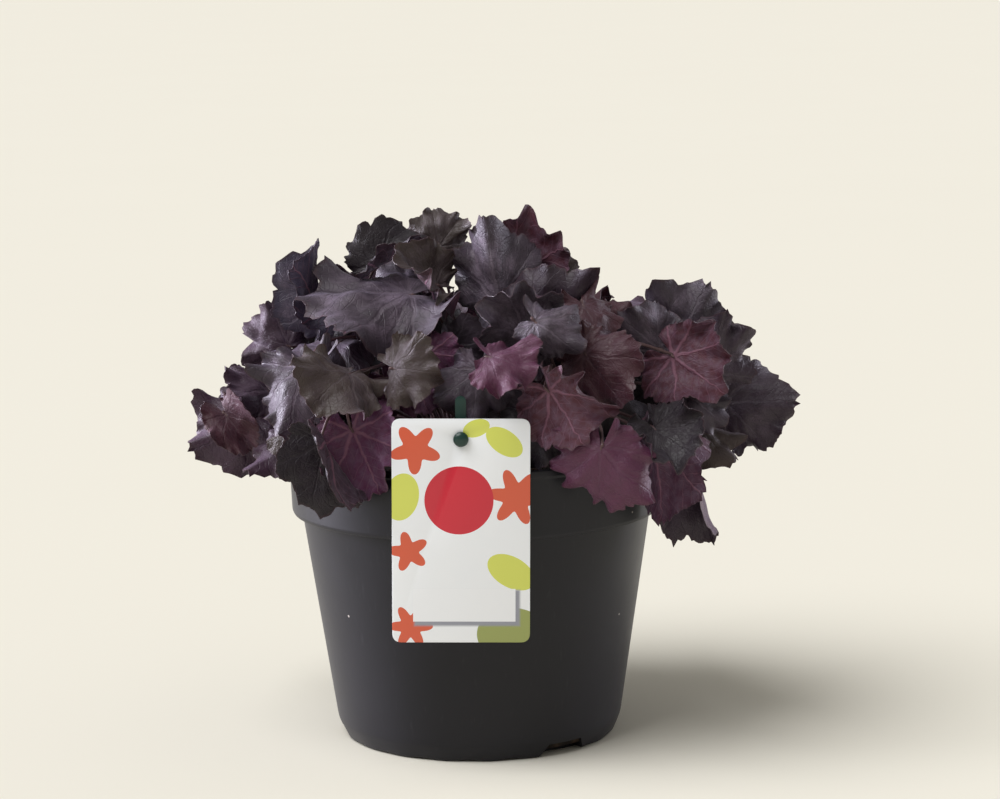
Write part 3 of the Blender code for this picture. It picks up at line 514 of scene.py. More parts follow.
def pin_height():
    """The height of the peg's pin: the label hangs on it by the top of its hole."""
    return LABEL_TOP_Z - LABEL_HOLE_DROP + LABEL_HOLE_RADIUS - PEG_PIN_RADIUS - PEG_GAP


def within(tree, place, middle, degrees, scale):
    """The place measured from a middle, turned back about Y and divided by scale."""
    inputs = {"Vector": place, "Location": middle, "Rotation": (0, math.radians(degrees), 0), "Scale": scale}
    return add(tree, "ShaderNodeMapping", inputs, vector_type="TEXTURE").outputs[0]


def card_finish():
    looks = {"Roughness": 0.3, "Coat_Weight": 0.25, "Coat_Roughness": 0.2}
    made, tree, shader, place = new_finish("printed_card", **looks)
    middle = (LABEL_X * MM, 0.0, (LABEL_TOP_Z - LABEL_HEIGHT / 2) * MM)
    card = within(tree, place, middle, LABEL_TILT, (MM, MM, MM))
    colour = blend(tree, noise(tree, card, 0.03), rgb(0.86, 0.89, 0.95), rgb(0.92, 0.94, 0.98))
    for motif in MOTIFS:
        shape = within(tree, card, (motif.x, 0, motif.z), motif.turn, (motif.wide, ANY_DEPTH, motif.high))
        distance = add(tree, "ShaderNodeVectorMath", {0: shape}, operation="LENGTH").outputs["Value"]
        reach = 1.0
        if motif.petals:
            parts = add(tree, "ShaderNodeSeparateXYZ", {0: shape}).outputs
            angle = times(tree, work(tree, "ARCTAN2", parts[2], parts[0]), float(motif.petals))
            reach = work(tree, "MULTIPLY_ADD", work(tree, "COSINE", angle), PETAL_DEPTH, 1 - PETAL_DEPTH)
        colour = blend(tree, work(tree, "LESS_THAN", distance, reach), colour, motif.ink)
    x, z, wide, high = PANEL
    parts = add(tree, "ShaderNodeSeparateXYZ", {0: card}).outputs
    for shift, soft, ink in ((PANEL_SHADE, 2.0, SHADE_INK), (0.0, 0.1, PANEL_INK)):
        aside = work(tree, "ABSOLUTE", minus(tree, parts[0], x + shift))
        above = work(tree, "ABSOLUTE", minus(tree, parts[2], z - shift))
        over = work(tree, "MAXIMUM", minus(tree, aside, wide), minus(tree, above, high))
        colour = blend(tree, ramp(tree, over, 0.0, soft, 1.0, 0.0), colour, ink)
    wire(tree, shader, Base_Color=colour)
    roughen(tree, shader, specks_on(tree, place, 140.0, 0.03), 0.1, 0.0001)
    return made


def upright(points, x, y, z):
    """Turns a prism's points so that it stands: its outline in X and Z, its thickness along Y."""
    return np.stack([points[:, 0] + x, y - points[:, 2], points[:, 1] + z], axis=1)


def make_label():
    finish = card_finish()
    half_wide, half_high = LABEL_WIDTH / 2, LABEL_HEIGHT / 2
    corners = ((1, -1), (1, 1), (-1, 1), (-1, -1))
    outline = rounded([(a * half_wide, b * half_high, LABEL_CORNER * 1.1) for a, b in corners], steps=8)
    points, faces = prism(outline, 0.0, LABEL_THICKNESS)
    points = upright(points, 0.0, LABEL_Y, LABEL_TOP_Z - LABEL_HEIGHT / 2 - pin_height())
    tilt = math.radians(LABEL_TILT)
    x = points[:, 0] * math.cos(tilt) + points[:, 2] * math.sin(tilt)
    z = points[:, 2] * math.cos(tilt) - points[:, 0] * math.sin(tilt)
    points = np.stack([x + LABEL_X, points[:, 1], z + pin_height()], axis=1)
    label = mesh_object("label_card", points, faces, [finish], smooth=False)
    hole, faces = prism(circle(LABEL_HOLE_RADIUS, 48), -3.0, 3.0 + LABEL_THICKNESS)
    hole = upright(hole, LABEL_X, LABEL_Y, LABEL_TOP_Z - LABEL_HOLE_DROP)
    cut(label, [mesh_object("label_hole", hole, faces, [finish], smooth=False)])
    bevelled(label, 0.18)
    sharpen(label, 35)
    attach(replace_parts(label, "label"), "root")


make_label()

# The peg. A dark green moulded stake pushed into the compost, with a pin that goes through the label and a
# round head that keeps the label on.

PEG_WIDTH = 6.4
PEG_THICKNESS = 2.4
PEG_Y = -108.0
PEG_TOP_Z = 224.0
PEG_FOOT_Z = 143.5
PEG_HEAD_RADIUS = 4.4
PEG_HEAD_HEIGHT = 3.6


def peg_finish():
    made, tree, shader, place = new_finish("green_plastic", Specular_IOR_Level=0.5)
    cloud = noise(tree, place, 120.0, 3.0)
    colour = blend(tree, cloud, rgb(0.004, 0.026, 0.021), rgb(0.008, 0.044, 0.034))
    wire(tree, shader, Base_Color=colour, Roughness=ramp(tree, cloud, 0.2, 0.8, 0.26, 0.40))
    roughen(tree, shader, cloud, 0.15, 0.0003)
    return made


def make_peg():
    half, shoulder = PEG_WIDTH / 2, PEG_FOOT_Z + 12.0
    stake = [(-1.0, PEG_FOOT_Z), (1.0, PEG_FOOT_Z), (half, shoulder)]
    round_top = np.linspace(0, math.pi, 21)
    stake += [(half * math.cos(a), PEG_TOP_Z - half + half * math.sin(a)) for a in round_top]
    stake.append((-half, shoulder))
    points, faces = prism(stake, -PEG_THICKNESS / 2, PEG_THICKNESS / 2)
    solids = [(upright(points, LABEL_X, PEG_Y, 0.0), faces)]
    front = LABEL_Y - LABEL_THICKNESS - PEG_GAP
    points, faces = prism(circle(PEG_PIN_RADIUS, 40), 0.0, PEG_Y - front + 0.6)
    solids.append((upright(points, LABEL_X, PEG_Y, pin_height()), faces))
    bulge = PEG_HEAD_HEIGHT - 1.0
    dome = [(PEG_HEAD_RADIUS * math.cos(a), 1.0 + bulge * math.sin(a)) for a in np.linspace(0, 1.5, 9)]
    points, faces = turned([(0.0, 0.0), (PEG_HEAD_RADIUS - 0.4, 0.0), *dome, (0.0, PEG_HEAD_HEIGHT)], 48)
    solids.append((upright(points, LABEL_X, front, pin_height()), faces))
    finish = peg_finish()
    peg, *rest = [mesh_object("label_stake", *solid, [finish]) for solid in solids]
    for other in rest:
        modifier = peg.modifiers.new("Join", "BOOLEAN")
        modifier.operation = "UNION"
        modifier.object = other
        applied(peg)
        bpy.data.objects.remove(other)
    bevelled(peg, 0.35, 50)
    sharpen(peg, 35)
    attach(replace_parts(peg, "label_peg"), "root")


make_peg()

# The leaves. Round palmate blades on wiry stalks, nearly black, with a silver haze between the veins above
# and magenta below, and a wavy toothed margin. Each one is set out as its node in the frame is, and the
# node shows which of the ways to make room for it was taken and how its stalk runs.

LOBES = 7
LOBE_POINTS = 3
SINUS_ANGLE = 160.0  # degrees from the tip to each side of the notch where the stalk joins
LOBE_SPREAD = math.radians(2 * SINUS_ANGLE / LOBES)
INNER_RING = 0.55  # share of the way from the stalk to the margin
THICKNESS = 0.8
SAME = 0.05  # two points nearer than this are the same one
STALK_STATIONS = 5
EYE = np.array([15.5, -1800.0, 484.0])

Form = namedtuple("Form", "ruffle droop curl fold")
OPEN = Form(0.15, 28, 25, 0)
CUPPED = Form(0.13, -30, -50, 8)
DOMED = Form(0.14, 60, 60, 0)
FOLDED = Form(0.09, 35, 0, 48)
HANGING = Form(0.13, 45, 70, 0)
CRINKLED = Form(0.19, 40, 30, 0)
RIDGED = Form(0.13, 20, 10, -38)
PINCHED = Form(0.05, 25, 0, 58)

# One line a leaf, as seen from the front. x and z are where the stalk meets the blade, and depth how far
# it stands behind the pot's axis. tip is the way the leaf points: 0 to the right and 90 up, and lean
# how far that way turns towards the eye. The upper side looks up by sky, and to the right by side.
Leaf = namedtuple("Leaf", "x z depth tip lean sky side length form tone")
FRONT_LEAVES = (
    # the top of the mound, left to right
    Leaf(-38, 270, -45, 172, 10, 70, -5, 66, OPEN, "silver"),
    Leaf(-90, 262, -15, 106, 0, 0, -60, 42, PINCHED, "slate"),
    Leaf(-82, 246, -40, 200, 15, 45, -25, 50, OPEN, "aubergine"),
    Leaf(16, 264, -50, 100, 0, 10, -10, 52, RIDGED, "silver"),
    Leaf(24, 272, -25, 38, 0, 20, 200, 44, OPEN, "maroon"),
    Leaf(-58, 287, -18, 36, 0, 80, 0, 35, FOLDED, "dark"),
    Leaf(-20, 299, -15, 100, 0, 0, 0, 26, OPEN, "bronze"),
    Leaf(-22, 276, -45, 145, 20, 25, 0, 34, CUPPED, "bronze"),
    Leaf(-28, 286, -20, 140, 0, 10, 180, 30, OPEN, "maroon"),
    Leaf(-31, 273, -80, -22, 20, 75, 0, 38, CUPPED, "silver"),
    Leaf(-67, 262, -30, 165, 20, 30, -30, 32, OPEN, "plum"),
    Leaf(33, 243, -70, 112, 10, 15, -10, 40, CUPPED, "silver"),
    Leaf(36, 244, -62, 40, 0, 5, 15, 46, OPEN, "aubergine"),
    Leaf(38, 247, -86, -30, 30, 45, 0, 30, DOMED, "silver"),
    Leaf(33, 271, -15, 28, -10, 40, 10, 36, OPEN, "bronze"),
    Leaf(55, 256, -15, 50, 0, 10, 200, 36, OPEN, "maroon"),
    Leaf(78, 240, -40, 60, 10, 5, 10, 34, CRINKLED, "maroon"),
    Leaf(62, 262, -65, -60, 30, 20, 20, 28, CRINKLED, "maroon"),
    # the left side
    Leaf(-104, 226, -68, -110, 30, 35, -20, 42, CRINKLED, "silver"),
    Leaf(-134, 196, -15, 205, 15, 15, -25, 42, OPEN, "plum"),
    Leaf(-76, 222, -80, 195, 60, 60, 0, 38, OPEN, "bronze"),
    Leaf(-108, 240, -10, 160, 0, 10, -50, 32, OPEN, "plum"),
    Leaf(-126, 212, -15, 140, 10, 30, -40, 30, OPEN, "plum"),
    Leaf(-128, 206, 5, 205, 0, -10, -60, 30, OPEN, "dark"),
    Leaf(-152, 198, -35, -50, 30, 10, 20, 28, FOLDED, "maroon"),
    Leaf(-116, 184, -35, 215, 20, 30, -10, 32, OPEN, "plum"),
    Leaf(-98, 186, -60, 235, 30, 40, -20, 34, OPEN, "bronze"),
    Leaf(-83, 191, -60, 190, 30, 20, 0, 34, DOMED, "dark"),
    Leaf(-75, 187, -96, -66, 5, 10, 180, 40, OPEN, "magenta"),
    Leaf(-88, 180, -104, -65, 0, 10, -50, 44, PINCHED, "dark"),
    # the right side
    Leaf(153, 201, -15, 3, 15, 10, 10, 42, OPEN, "aubergine"),
    Leaf(122, 236, -30, 62, 5, 15, 10, 42, OPEN, "silver"),
    Leaf(145, 219, -25, 80, 10, 10, 15, 36, OPEN, "aubergine"),
    Leaf(108, 235, -45, 140, 15, 25, -5, 32, OPEN, "silver"),
    Leaf(116, 230, -42, -35, 20, 20, 180, 38, OPEN, "maroon"),
    Leaf(124, 206, -70, -30, 30, 35, 0, 30, DOMED, "silver"),
    Leaf(107, 216, -45, -80, 10, -10, 0, 34, OPEN, "dark"),
    Leaf(133, 184, -45, -45, 20, 20, 20, 32, OPEN, "bronze"),
    Leaf(110, 180, -66, -40, 30, 50, 0, 36, CUPPED, "dark"),
    Leaf(133, 161, -40, -80, 5, 0, -40, 46, PINCHED, "aubergine"),
    Leaf(104, 172, -88, -78, 0, 10, 150, 42, FOLDED, "plum"),
    Leaf(77, 174, -108, -97, 5, 10, -15, 44, HANGING, "magenta"),
    # the low middle, over the label
    Leaf(68, 232, -85, -55, 30, 15, 0, 38, OPEN, "maroon"),
    Leaf(72, 210, -78, -60, 20, 15, 10, 38, DOMED, "dark"),
    Leaf(45, 205, -98, -50, 10, 10, 180, 38, OPEN, "maroon"),
    Leaf(34, 189, -92, -75, 40, 40, 0, 32, OPEN, "dark"),
    Leaf(16, 218, -92, -45, 25, 20, 5, 40, DOMED, "silver"),
    Leaf(2, 224, -85, -95, 20, 25, 0, 32, OPEN, "silver"),
    Leaf(15, 231, -80, -8, 35, 30, 0, 30, CRINKLED, "magenta"),
    Leaf(-7, 238, -75, -25, 10, 80, 0, 28, FOLDED, "silver"),
    Leaf(-27, 239, -70, -55, 0, 10, 180, 26, OPEN, "magenta"),
    Leaf(-54, 225, -90, 2, 40, 40, 0, 30, OPEN, "bronze"),
    Leaf(-50, 219, -70, -55, 15, 0, 0, 30, OPEN, "magenta"),
    Leaf(-34, 217, -85, -30, 0, 10, 180, 24, OPEN, "magenta"),
    Leaf(-26, 262, -40, -90, 20, 0, 0, 36, OPEN, "dark"),
    Leaf(-80, 236, -12, 80, 0, 5, 0, 36, OPEN, "dark"),
    Leaf(53, 235, -55, -100, 0, 0, 0, 32, OPEN, "maroon"),
    # the dark inside, seen between the stalks, in the "dark" tone with its painted shade
    Leaf(-48, 258, 22, 105, 0, 10, 0, 38, OPEN, "plum"),
    Leaf(-92, 208, 26, 100, -5, 10, 0, 38, OPEN, "dark"),
    Leaf(-60, 196, 44, 96, -5, 10, 0, 38, OPEN, "dark"),
    Leaf(-14, 212, 46, 90, -5, 10, 0, 40, OPEN, "dark"),
    Leaf(46, 204, 42, 84, -5, 10, 0, 40, OPEN, "dark"),
    Leaf(96, 192, 34, 80, -5, 10, 0, 38, OPEN, "dark"),
)

# The side that the front hides: tiers of leaves round the back of the mound, each given by its height
# on the mound in degrees, its number of leaves, their length and how far their tips hang, in degrees
Tier = namedtuple("Tier", "height leaves length hang form")
MOUND_CENTRE = np.array([8.0, 8.0, 178.0])
MOUND_RADII = np.array([128.0, 116.0, 100.0])
BACK_TIERS = (
    Tier(6, 7, 50, 54, HANGING),
    Tier(28, 6, 52, 30, DOMED),
    Tier(52, 4, 50, 12, OPEN),
    Tier(75, 2, 46, 0, OPEN),
)
BACK_FROM = 8.0
BACK_TO = 176.0
BACK_TONES = ("aubergine", "silver", "plum", "dark", "maroon")

Blade = namedtuple("Blade", "origin side tip face length form waves notch tone")

# A leaf's colour above, how much silver haze lies over it, and its colour below. The "dark" tone is the
# leaf's own near-black colour made darker still with painted shade.
Tone = namedtuple("Tone", "upper haze under")
TONES = {
    "silver": Tone((0.028, 0.018, 0.029), 0.92, (0.050, 0.014, 0.036)),
    "slate": Tone((0.026, 0.020, 0.042), 0.70, (0.036, 0.028, 0.062)),
    "aubergine": Tone((0.022, 0.010, 0.020), 0.48, (0.050, 0.014, 0.036)),
    "plum": Tone((0.036, 0.013, 0.030), 0.46, (0.070, 0.020, 0.048)),
    # painted shade: darker than the leaves' own colour, for leaves that lie in shade
    "dark": Tone((0.010, 0.005, 0.009), 0.12, (0.024, 0.008, 0.016)),
    "maroon": Tone((0.048, 0.010, 0.018), 0.20, (0.068, 0.014, 0.026)),
    "magenta": Tone((0.080, 0.014, 0.046), 0.20, (0.090, 0.018, 0.060)),
    "bronze": Tone((0.036, 0.022, 0.018), 0.30, (0.052, 0.023, 0.024)),
}


def unit(vector):
    return vector / np.linalg.norm(vector)


def seen(x, z, depth):
    """The point that the eye sees at x, z on the plane through the pot's axis, depth behind that plane."""
    on_plane = np.array([x, 0.0, z])
    return EYE + (on_plane - EYE) * (1.0 - depth / EYE[1])


def make_blade(origin, tip, face, length, form, tone, seed):
    tip = unit(tip)
    face = unit(face - tip * (face @ tip))
    draw = random.Random(seed)
    waves = [
        (count, share * form.ruffle * draw.uniform(0.75, 1.25), draw.uniform(0, 2 * math.pi), power)
        for count, share, power in ((2, 0.55, 1.8), (3, 0.80, 2.6), (5, 0.75, 3.4), (8, 0.50, 4.5))
    ]
    return Blade(origin, np.cross(tip, face), tip, face, length, form, waves, draw.uniform(0.06, 0.13), tone)


def front_blade(leaf, shift, turn, size):
    tip, lean = math.radians(leaf.tip), math.radians(leaf.lean)
    sky, side = math.radians(leaf.sky + turn), math.radians(leaf.side)
    along = np.array([math.cos(lean) * math.cos(tip), -math.sin(lean), math.cos(lean) * math.sin(tip)])
    face = np.array([math.sin(side) * math.cos(sky), -math.cos(side) * math.cos(sky), math.sin(sky)])
    right, up, back = shift
    origin = seen(leaf.x + right, leaf.z + up, leaf.depth + back)
    seed = 31 * leaf.x + 17 * leaf.z
    return make_blade(origin, along, face, leaf.length * size, leaf.form, leaf.tone, seed)


def back_blade(tier, number, shift, turn, size):
    seed = tier.height + 10 * number
    draw = random.Random(seed)
    step = (BACK_TO - BACK_FROM) / tier.leaves
    azimuth = math.radians(BACK_FROM + step * (number + 0.5) + draw.uniform(-0.2, 0.2) * step)
    height = math.radians(tier.height + draw.uniform(-5, 5))
    outward = np.array([math.cos(azimuth), math.sin(azimuth), 0.0])
    up = np.array([0.0, 0.0, 1.0])
    across = np.cross(up, outward)
    normal = unit(outward * math.cos(height) + up * math.sin(height))
    downhill = unit(outward * math.sin(height) - up * math.cos(height))
    hang = math.radians(tier.hang + turn + draw.uniform(-8, 8))
    lift = math.radians(90.0) - height - hang
    tip = downhill * math.cos(lift) + normal * math.sin(lift) + across * draw.uniform(-0.5, 0.5)
    place = normal * MOUND_RADII
    outwards = draw.uniform(0.80, 0.96) + shift[2] / np.linalg.norm(place)
    origin = MOUND_CENTRE + place * outwards + across * shift[0]
    tone = BACK_TONES[seed % len(BACK_TONES)]
    length = tier.length * draw.uniform(0.85, 1.1) * size
    return make_blade(origin, tip, normal + up * 0.35, length, tier.form, tone, seed)


def leaf_makers():
    """One maker a leaf: it gives the blade for a shift along its way, a turn and a size."""
    makers = [partial(front_blade, leaf) for leaf in FRONT_LEAVES]
    for tier in BACK_TIERS:
        makers += [partial(back_blade, tier, number) for number in range(tier.leaves)]
    return makers


def blade_shifts():
    """Ways to make room for a blade, the least first: its shift right, up and back, its turn and its size."""
    for size in (1.0, 0.88):
        for step in range(9):
            for right, up in ((0, 0), (5, 0), (-5, 0), (0, -5), (0, 5)):
                for turn in (0.0, 14.0, -14.0, 28.0, -28.0):
                    yield (right, up, 4.0 * step), turn, size
                    yield (right, up, -4.0 * step), turn, size


def outline(blade, theta):
    """How far the margin lies from the stalk's end: a rounded heart of seven shallow round lobes."""
    lobe = theta / math.radians(2 * SINUS_ANGLE / LOBES)
    off_centre = np.abs(2 * (lobe - np.round(lobe)))
    return blade.length * (1 - 0.6 * np.sin(theta / 2) ** 2) * (1 - blade.notch * off_centre**2.5)


def arc(distance, curvature):
    """Where a straight line's point goes along and across when the line bends, and its new direction."""
    if abs(curvature) < 1e-6:
        return distance, 0.0 * distance, 0.0 * distance
    angle = distance * curvature
    return np.sin(angle) / curvature, (1 - np.cos(angle)) / curvature, angle


def bent(blade, across, along, lift):
    """Puts a flat blade's points, and how high each stands off it, into the world as the leaf bends."""
    form, length = blade.form, blade.length
    fold = math.radians(form.fold)
    crease = 0.06 * length
    lift = lift + (np.sqrt(across**2 + crease**2) - crease) * math.sin(fold)
    across = across * math.cos(fold)
    sideways, down, angle = arc(across, math.radians(form.curl) / (0.8 * length))
    across = sideways + lift * np.sin(angle)
    lift = lift * np.cos(angle) - down
    forward, down, angle = arc(along, math.radians(form.droop) / length)
    along = forward + lift * np.sin(angle)
    lift = lift * np.cos(angle) - down
    places = ((across, blade.side), (along, blade.tip), (lift, blade.face))
    return blade.origin + sum(np.outer(place, axis) for place, axis in places)


def ruffles(blade, rho, theta):
    return sum(
        blade.length * share * rho**power * np.sin(count * theta + phase)
        for count, share, phase, power in blade.waves
    )


def sheet_normals(points, faces):
    corners = points[faces]
    across = np.cross(corners[:, 1] - corners[:, 0], corners[:, 2] - corners[:, 0])
    normals = np.zeros_like(points)
    for corner in range(faces.shape[1]):
        np.add.at(normals, faces[:, corner], across)
    lengths = np.linalg.norm(normals, axis=1)
    return normals / np.maximum(lengths, np.finfo(float).tiny)[:, None]


class Joined:
    """The leaves' nodes with their triangles joined up again: points, neighbours and owners."""

    def __init__(self, names):
        self.points, self.next, self.owner = [], [], []
        for name in names:
            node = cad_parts[name]
            made = bmesh.new()
            made.from_mesh(node.data)
            made.transform(node.matrix_world)
            bmesh.ops.remove_doubles(made, verts=made.verts, dist=2e-6)
            made.verts.index_update()
            start = len(self.points)
            for point in made.verts:
                self.points.append(point.co / MM)
                self.next.append({start + edge.other_vert(point).index for edge in point.link_edges})
                self.owner.append(name)
            made.free()
        self.tree = kdtree.KDTree(len(self.points))
        for number, point in enumerate(self.points):
            self.tree.insert(point, number)
        self.tree.balance()

    def near(self, point):
        """The numbers of the plain solid's two points, upper and lower, at this point of its middle."""
        return [number for _, number, _ in self.tree.find_range(Vector(point), THICKNESS / 2 + SAME)]


def plain_blade(blade):
    """The plain solid's points, upper ones first: as many as it needs to tell where the blade stands."""
    sinus = math.radians(SINUS_ANGLE)
    margin = np.linspace(-sinus, sinus, LOBES * LOBE_POINTS + 1)
    ring = margin[::LOBE_POINTS]
    seat = 1.6 / (0.66 * blade.length)
    rho = np.concatenate([[seat, 0.0, seat], np.full(len(ring), INNER_RING), np.ones(len(margin))])
    theta = np.concatenate([[-2.0, 0.0, 2.0], ring, margin])
    radius = rho * outline(blade, theta)
    return bent(blade, radius * np.sin(theta), radius * np.cos(theta), ruffles(blade, rho, theta))


def standing(maker, joined):
    """The blade as it stands in the frame, with its node and its stalk's way, or None if it isn't there."""
    for shift, turn, size in blade_shifts():
        blade = maker(shift, turn, size)
        middle = plain_blade(blade)
        if all(len(joined.near(point)) > 1 for point in middle[::-1]):
            return blade, joined.owner[joined.near(middle[0])[0]], stalk_way(middle, joined)
    return None


def stalk_way(middle, joined):
    """The middles of the stalk's rings, followed from point to point down from the blade's edge."""
    passed = {number for point in middle for number in joined.near(point)}
    ring = {number for seat in (middle[0], middle[2]) for number in joined.near(seat)}
    way = []
    while len(way) < STALK_STATIONS:
        ring = {number for old in ring for number in joined.next[old]} - passed
        if len(ring) != 4:
            break
        way.append(np.mean([joined.points[number] for number in ring], axis=0))
        passed |= ring
    return way


# The fine leaf, its blade and its stalk

RAYS = 22  # to each lobe, and 3 or 4 to each tooth
RINGS = 15
BLADE_MIDDLE = 0.55
BLADE_RIM = 0.34
STALK_NECK_RADIUS = 0.75
STALK_ROOT_RADIUS = 1.15
STALK_SIDES = 9
SCALLOP_DEPTH = 0.055  # this and the next lines are shares of the leaf's length
TEETH_DEPTH = 0.042
FINE_TEETH_DEPTH = 0.026
PLEAT_DEPTHS = (-0.012, 0.022)
PUFF_DEPTH = 0.010
SIDE_VEIN_STEP = 0.15
SIDE_VEIN_SLOPE = 1.15
DENTS = ((5, 0.045), (9, 0.032), (15, 0.017), (24, 0.009))  # how close together they are, and their depth
MARGIN_RUFFLES = ((9.3, 0.060, 4.5), (14.7, 0.055, 6.0), (24.1, 0.028, 8.0))  # the same, and how near the rim


def wavering(draw, theta, waves):
    """A sum of waves round the margin, given as size and count, each from a place drawn at random."""
    return sum(size * np.sin(count * theta + draw.uniform(0, 6)) for size, count in waves)


def toothed(blade, theta):
    """How the margin stands in and out of its plain outline: ragged scallops with fine uneven teeth."""
    draw = random.Random(blade.length)
    lobe = theta / LOBE_SPREAD
    drift = wavering(draw, theta, ((0.22, 2.3), (0.12, 5.1)))
    scallop = np.abs(np.sin(math.pi * 2 * (lobe + 0.5 + drift)))
    teeth = 1 - np.abs(np.sin(math.pi * 5 * (lobe + 0.6 * drift)))
    fine = 1 - np.abs(np.sin(math.pi * 7.3 * (lobe + 0.8 * drift) + 1.0))
    uneven = 1 + wavering(draw, theta, ((0.5, 7.3), (0.4, 12.7)))
    toothing = TEETH_DEPTH * (teeth - 0.36) + FINE_TEETH_DEPTH * (fine - 0.36)
    return 1 + SCALLOP_DEPTH * (scallop**0.9 - 0.7) + uneven * toothing


def crumple(blade, rho, theta, across, along):
    """The fine relief: pleats and puckers between the veins, dents, and tight ruffles at the margin."""
    length = blade.length
    draw = random.Random(7 + int(length * 1000))
    lobe = theta / LOBE_SPREAD
    off_centre = lobe - np.round(lobe)
    pleats = np.array([draw.uniform(*PLEAT_DEPTHS) for _ in range(LOBES + 1)])
    half_lobe = np.clip(np.round(lobe - 0.5).astype(int) + LOBES // 2 + 1, 0, LOBES)
    pleat = pleats[half_lobe] * np.sin(math.pi * np.abs(off_centre)) ** 1.3 * rho * (1.25 - 0.6 * rho)
    x, y = across / length, along / length
    ways = [draw.uniform(0, 3) for _ in DENTS]
    dents = sum(
        size
        * np.sin(step * (x * math.cos(way) + y * math.sin(way)) + draw.uniform(0, 6))
        * np.sin(step * 0.9 * (y * math.cos(way) - x * math.sin(way)) + draw.uniform(0, 6))
        for (step, size), way in zip(DENTS, ways)
    )
    aside = np.abs(off_centre) * np.hypot(x, y) * LOBE_SPREAD
    past = np.hypot(x, y) - SIDE_VEIN_SLOPE * aside
    puff = PUFF_DEPTH * np.abs(np.sin(math.pi * past / SIDE_VEIN_STEP)) ** 0.8
    swell = 1 + wavering(draw, theta, ((0.7, 1.7),))
    tight = sum(
        size * blade.form.ruffle / 0.14 * np.sin(count * theta + draw.uniform(0, 6)) * rho**power
        for count, size, power in MARGIN_RUFFLES
    )
    return length * (pleat + (dents + puff) * np.minimum(1, rho * 2.2) + swell * tight)


def fine_blade(blade):
    """The blade's sheet: points, quads and the flat place of each point, as a share of the leaf's length."""
    sinus = math.radians(SINUS_ANGLE)
    rays = LOBES * RAYS + 1
    theta, rho = np.meshgrid(np.linspace(-sinus, sinus, rays), np.linspace(0, 1, RINGS + 1)[1:] ** 0.85)
    theta, rho = theta.ravel(), rho.ravel()
    radius = rho * outline(blade, theta) * (1 + (toothed(blade, theta) - 1) * rho**3)
    across, along = radius * np.sin(theta), radius * np.cos(theta)
    lift = ruffles(blade, rho, theta) + crumple(blade, rho, theta, across, along)
    points = np.concatenate([bent(blade, across, along, lift), blade.origin[None]])
    flat = np.concatenate([np.stack([across, along], axis=1), [[0.0, 0.0]]]) / blade.length
    hub = len(points) - 1
    inner, outer = np.arange(rays - 1), np.arange(1, rays)
    fans = [np.stack([np.full(rays - 1, hub), inner, outer], axis=1)[:, ::-1]]
    quads = []
    for ring in range(RINGS - 1):
        low, high = ring * rays, (ring + 1) * rays
        quads.append(np.stack([low + inner, low + outer, high + outer, high + inner], axis=1))
    rim = [hub, *range(0, rays * RINGS, rays)]
    rim += list(range((RINGS - 1) * rays + 1, RINGS * rays))
    rim += list(range((RINGS - 1) * rays - 1, 0, -rays))
    share = np.concatenate([rho, [0.0]])
    return points, np.concatenate(quads), np.concatenate(fans), rim, flat, share


def spline(way, steps):
    """A smooth run through the points of the way."""
    ends = [2 * way[0] - way[1], *way, 2 * way[-1] - way[-2]]
    run = []
    for a, b, c, d in zip(ends, ends[1:], ends[2:], ends[3:]):
        for t in np.linspace(0, 1, steps, endpoint=False):
            square, cube = (2 * a - 5 * b + 4 * c - d) * t**2, (3 * b - a - 3 * c + d) * t**3
            run.append(0.5 * (2 * b + (c - a) * t + square + cube))
    run.append(way[-1])
    return np.array(run)


def fine_stalk(run, start_side):
    """A round tube along the run, thin at the blade and thicker at the root, closed at both ends."""
    points, faces = [], []
    side = start_side
    for number, point in enumerate(run):
        way = unit(run[min(number + 1, len(run) - 1)] - run[max(number - 1, 0)])
        side = unit(side - way * (side @ way))
        up = np.cross(side, way)
        share = number / (len(run) - 1)
        radius = STALK_NECK_RADIUS + (STALK_ROOT_RADIUS - STALK_NECK_RADIUS) * share
        for angle in np.linspace(0, 2 * math.pi, STALK_SIDES, endpoint=False):
            points.append(point + radius * (side * math.cos(angle) + up * math.sin(angle)))
    for ring in range(len(run) - 1):
        for k in range(STALK_SIDES):
            a, b = ring * STALK_SIDES + k, ring * STALK_SIDES + (k + 1) % STALK_SIDES
            faces.append((a, a + STALK_SIDES, b + STALK_SIDES, b))
    last = (len(run) - 1) * STALK_SIDES
    faces.append(tuple(range(STALK_SIDES)))
    faces.append(tuple(range(last + STALK_SIDES - 1, last - 1, -1)))
    return np.array(points), faces


def fine_leaf(blade, way):
    """A leaf's points, faces and their finishes, and each point's flat place and share of the margin."""
    middle, quads, fans, rim, flat, share = fine_blade(blade)
    normals = sheet_normals(middle, quads)
    normals[-1] = blade.face
    half = (BLADE_MIDDLE + (BLADE_RIM - BLADE_MIDDLE) * share)[:, None] / 2
    count = len(middle)
    sign = 1.0 if (normals[:-1] @ blade.face).mean() > 0 else -1.0
    upper, lower = middle + sign * normals * half, middle - sign * normals * half
    turn = 1 if sign > 0 else -1
    faces = [tuple(face) for face in quads[:, ::turn]] + [tuple(face) for face in fans[:, ::-turn]]
    under = [tuple(index + count for index in face[::-1]) for face in faces]
    edge = [(a, b, b + count, a + count)[::-turn] for a, b in zip(rim, rim[1:] + rim[:1])]
    neck = blade.origin - blade.face * 0.3
    run = spline([neck + blade.tip * 1.2, neck - blade.tip * 0.6, *way], 6)
    tube, tube_faces = fine_stalk(run, blade.side)
    points = np.concatenate([upper, lower, tube])
    stalk = [tuple(index + 2 * count for index in face) for face in tube_faces]
    finishes = [0] * len(faces) + [1] * len(under) + [0] * len(edge) + [2] * len(stalk)
    flat = np.concatenate([flat, flat, np.zeros((len(tube), 2))])
    share = np.concatenate([share, share, np.zeros(len(tube))])
    return points, faces + under + edge + stalk, finishes, flat, share


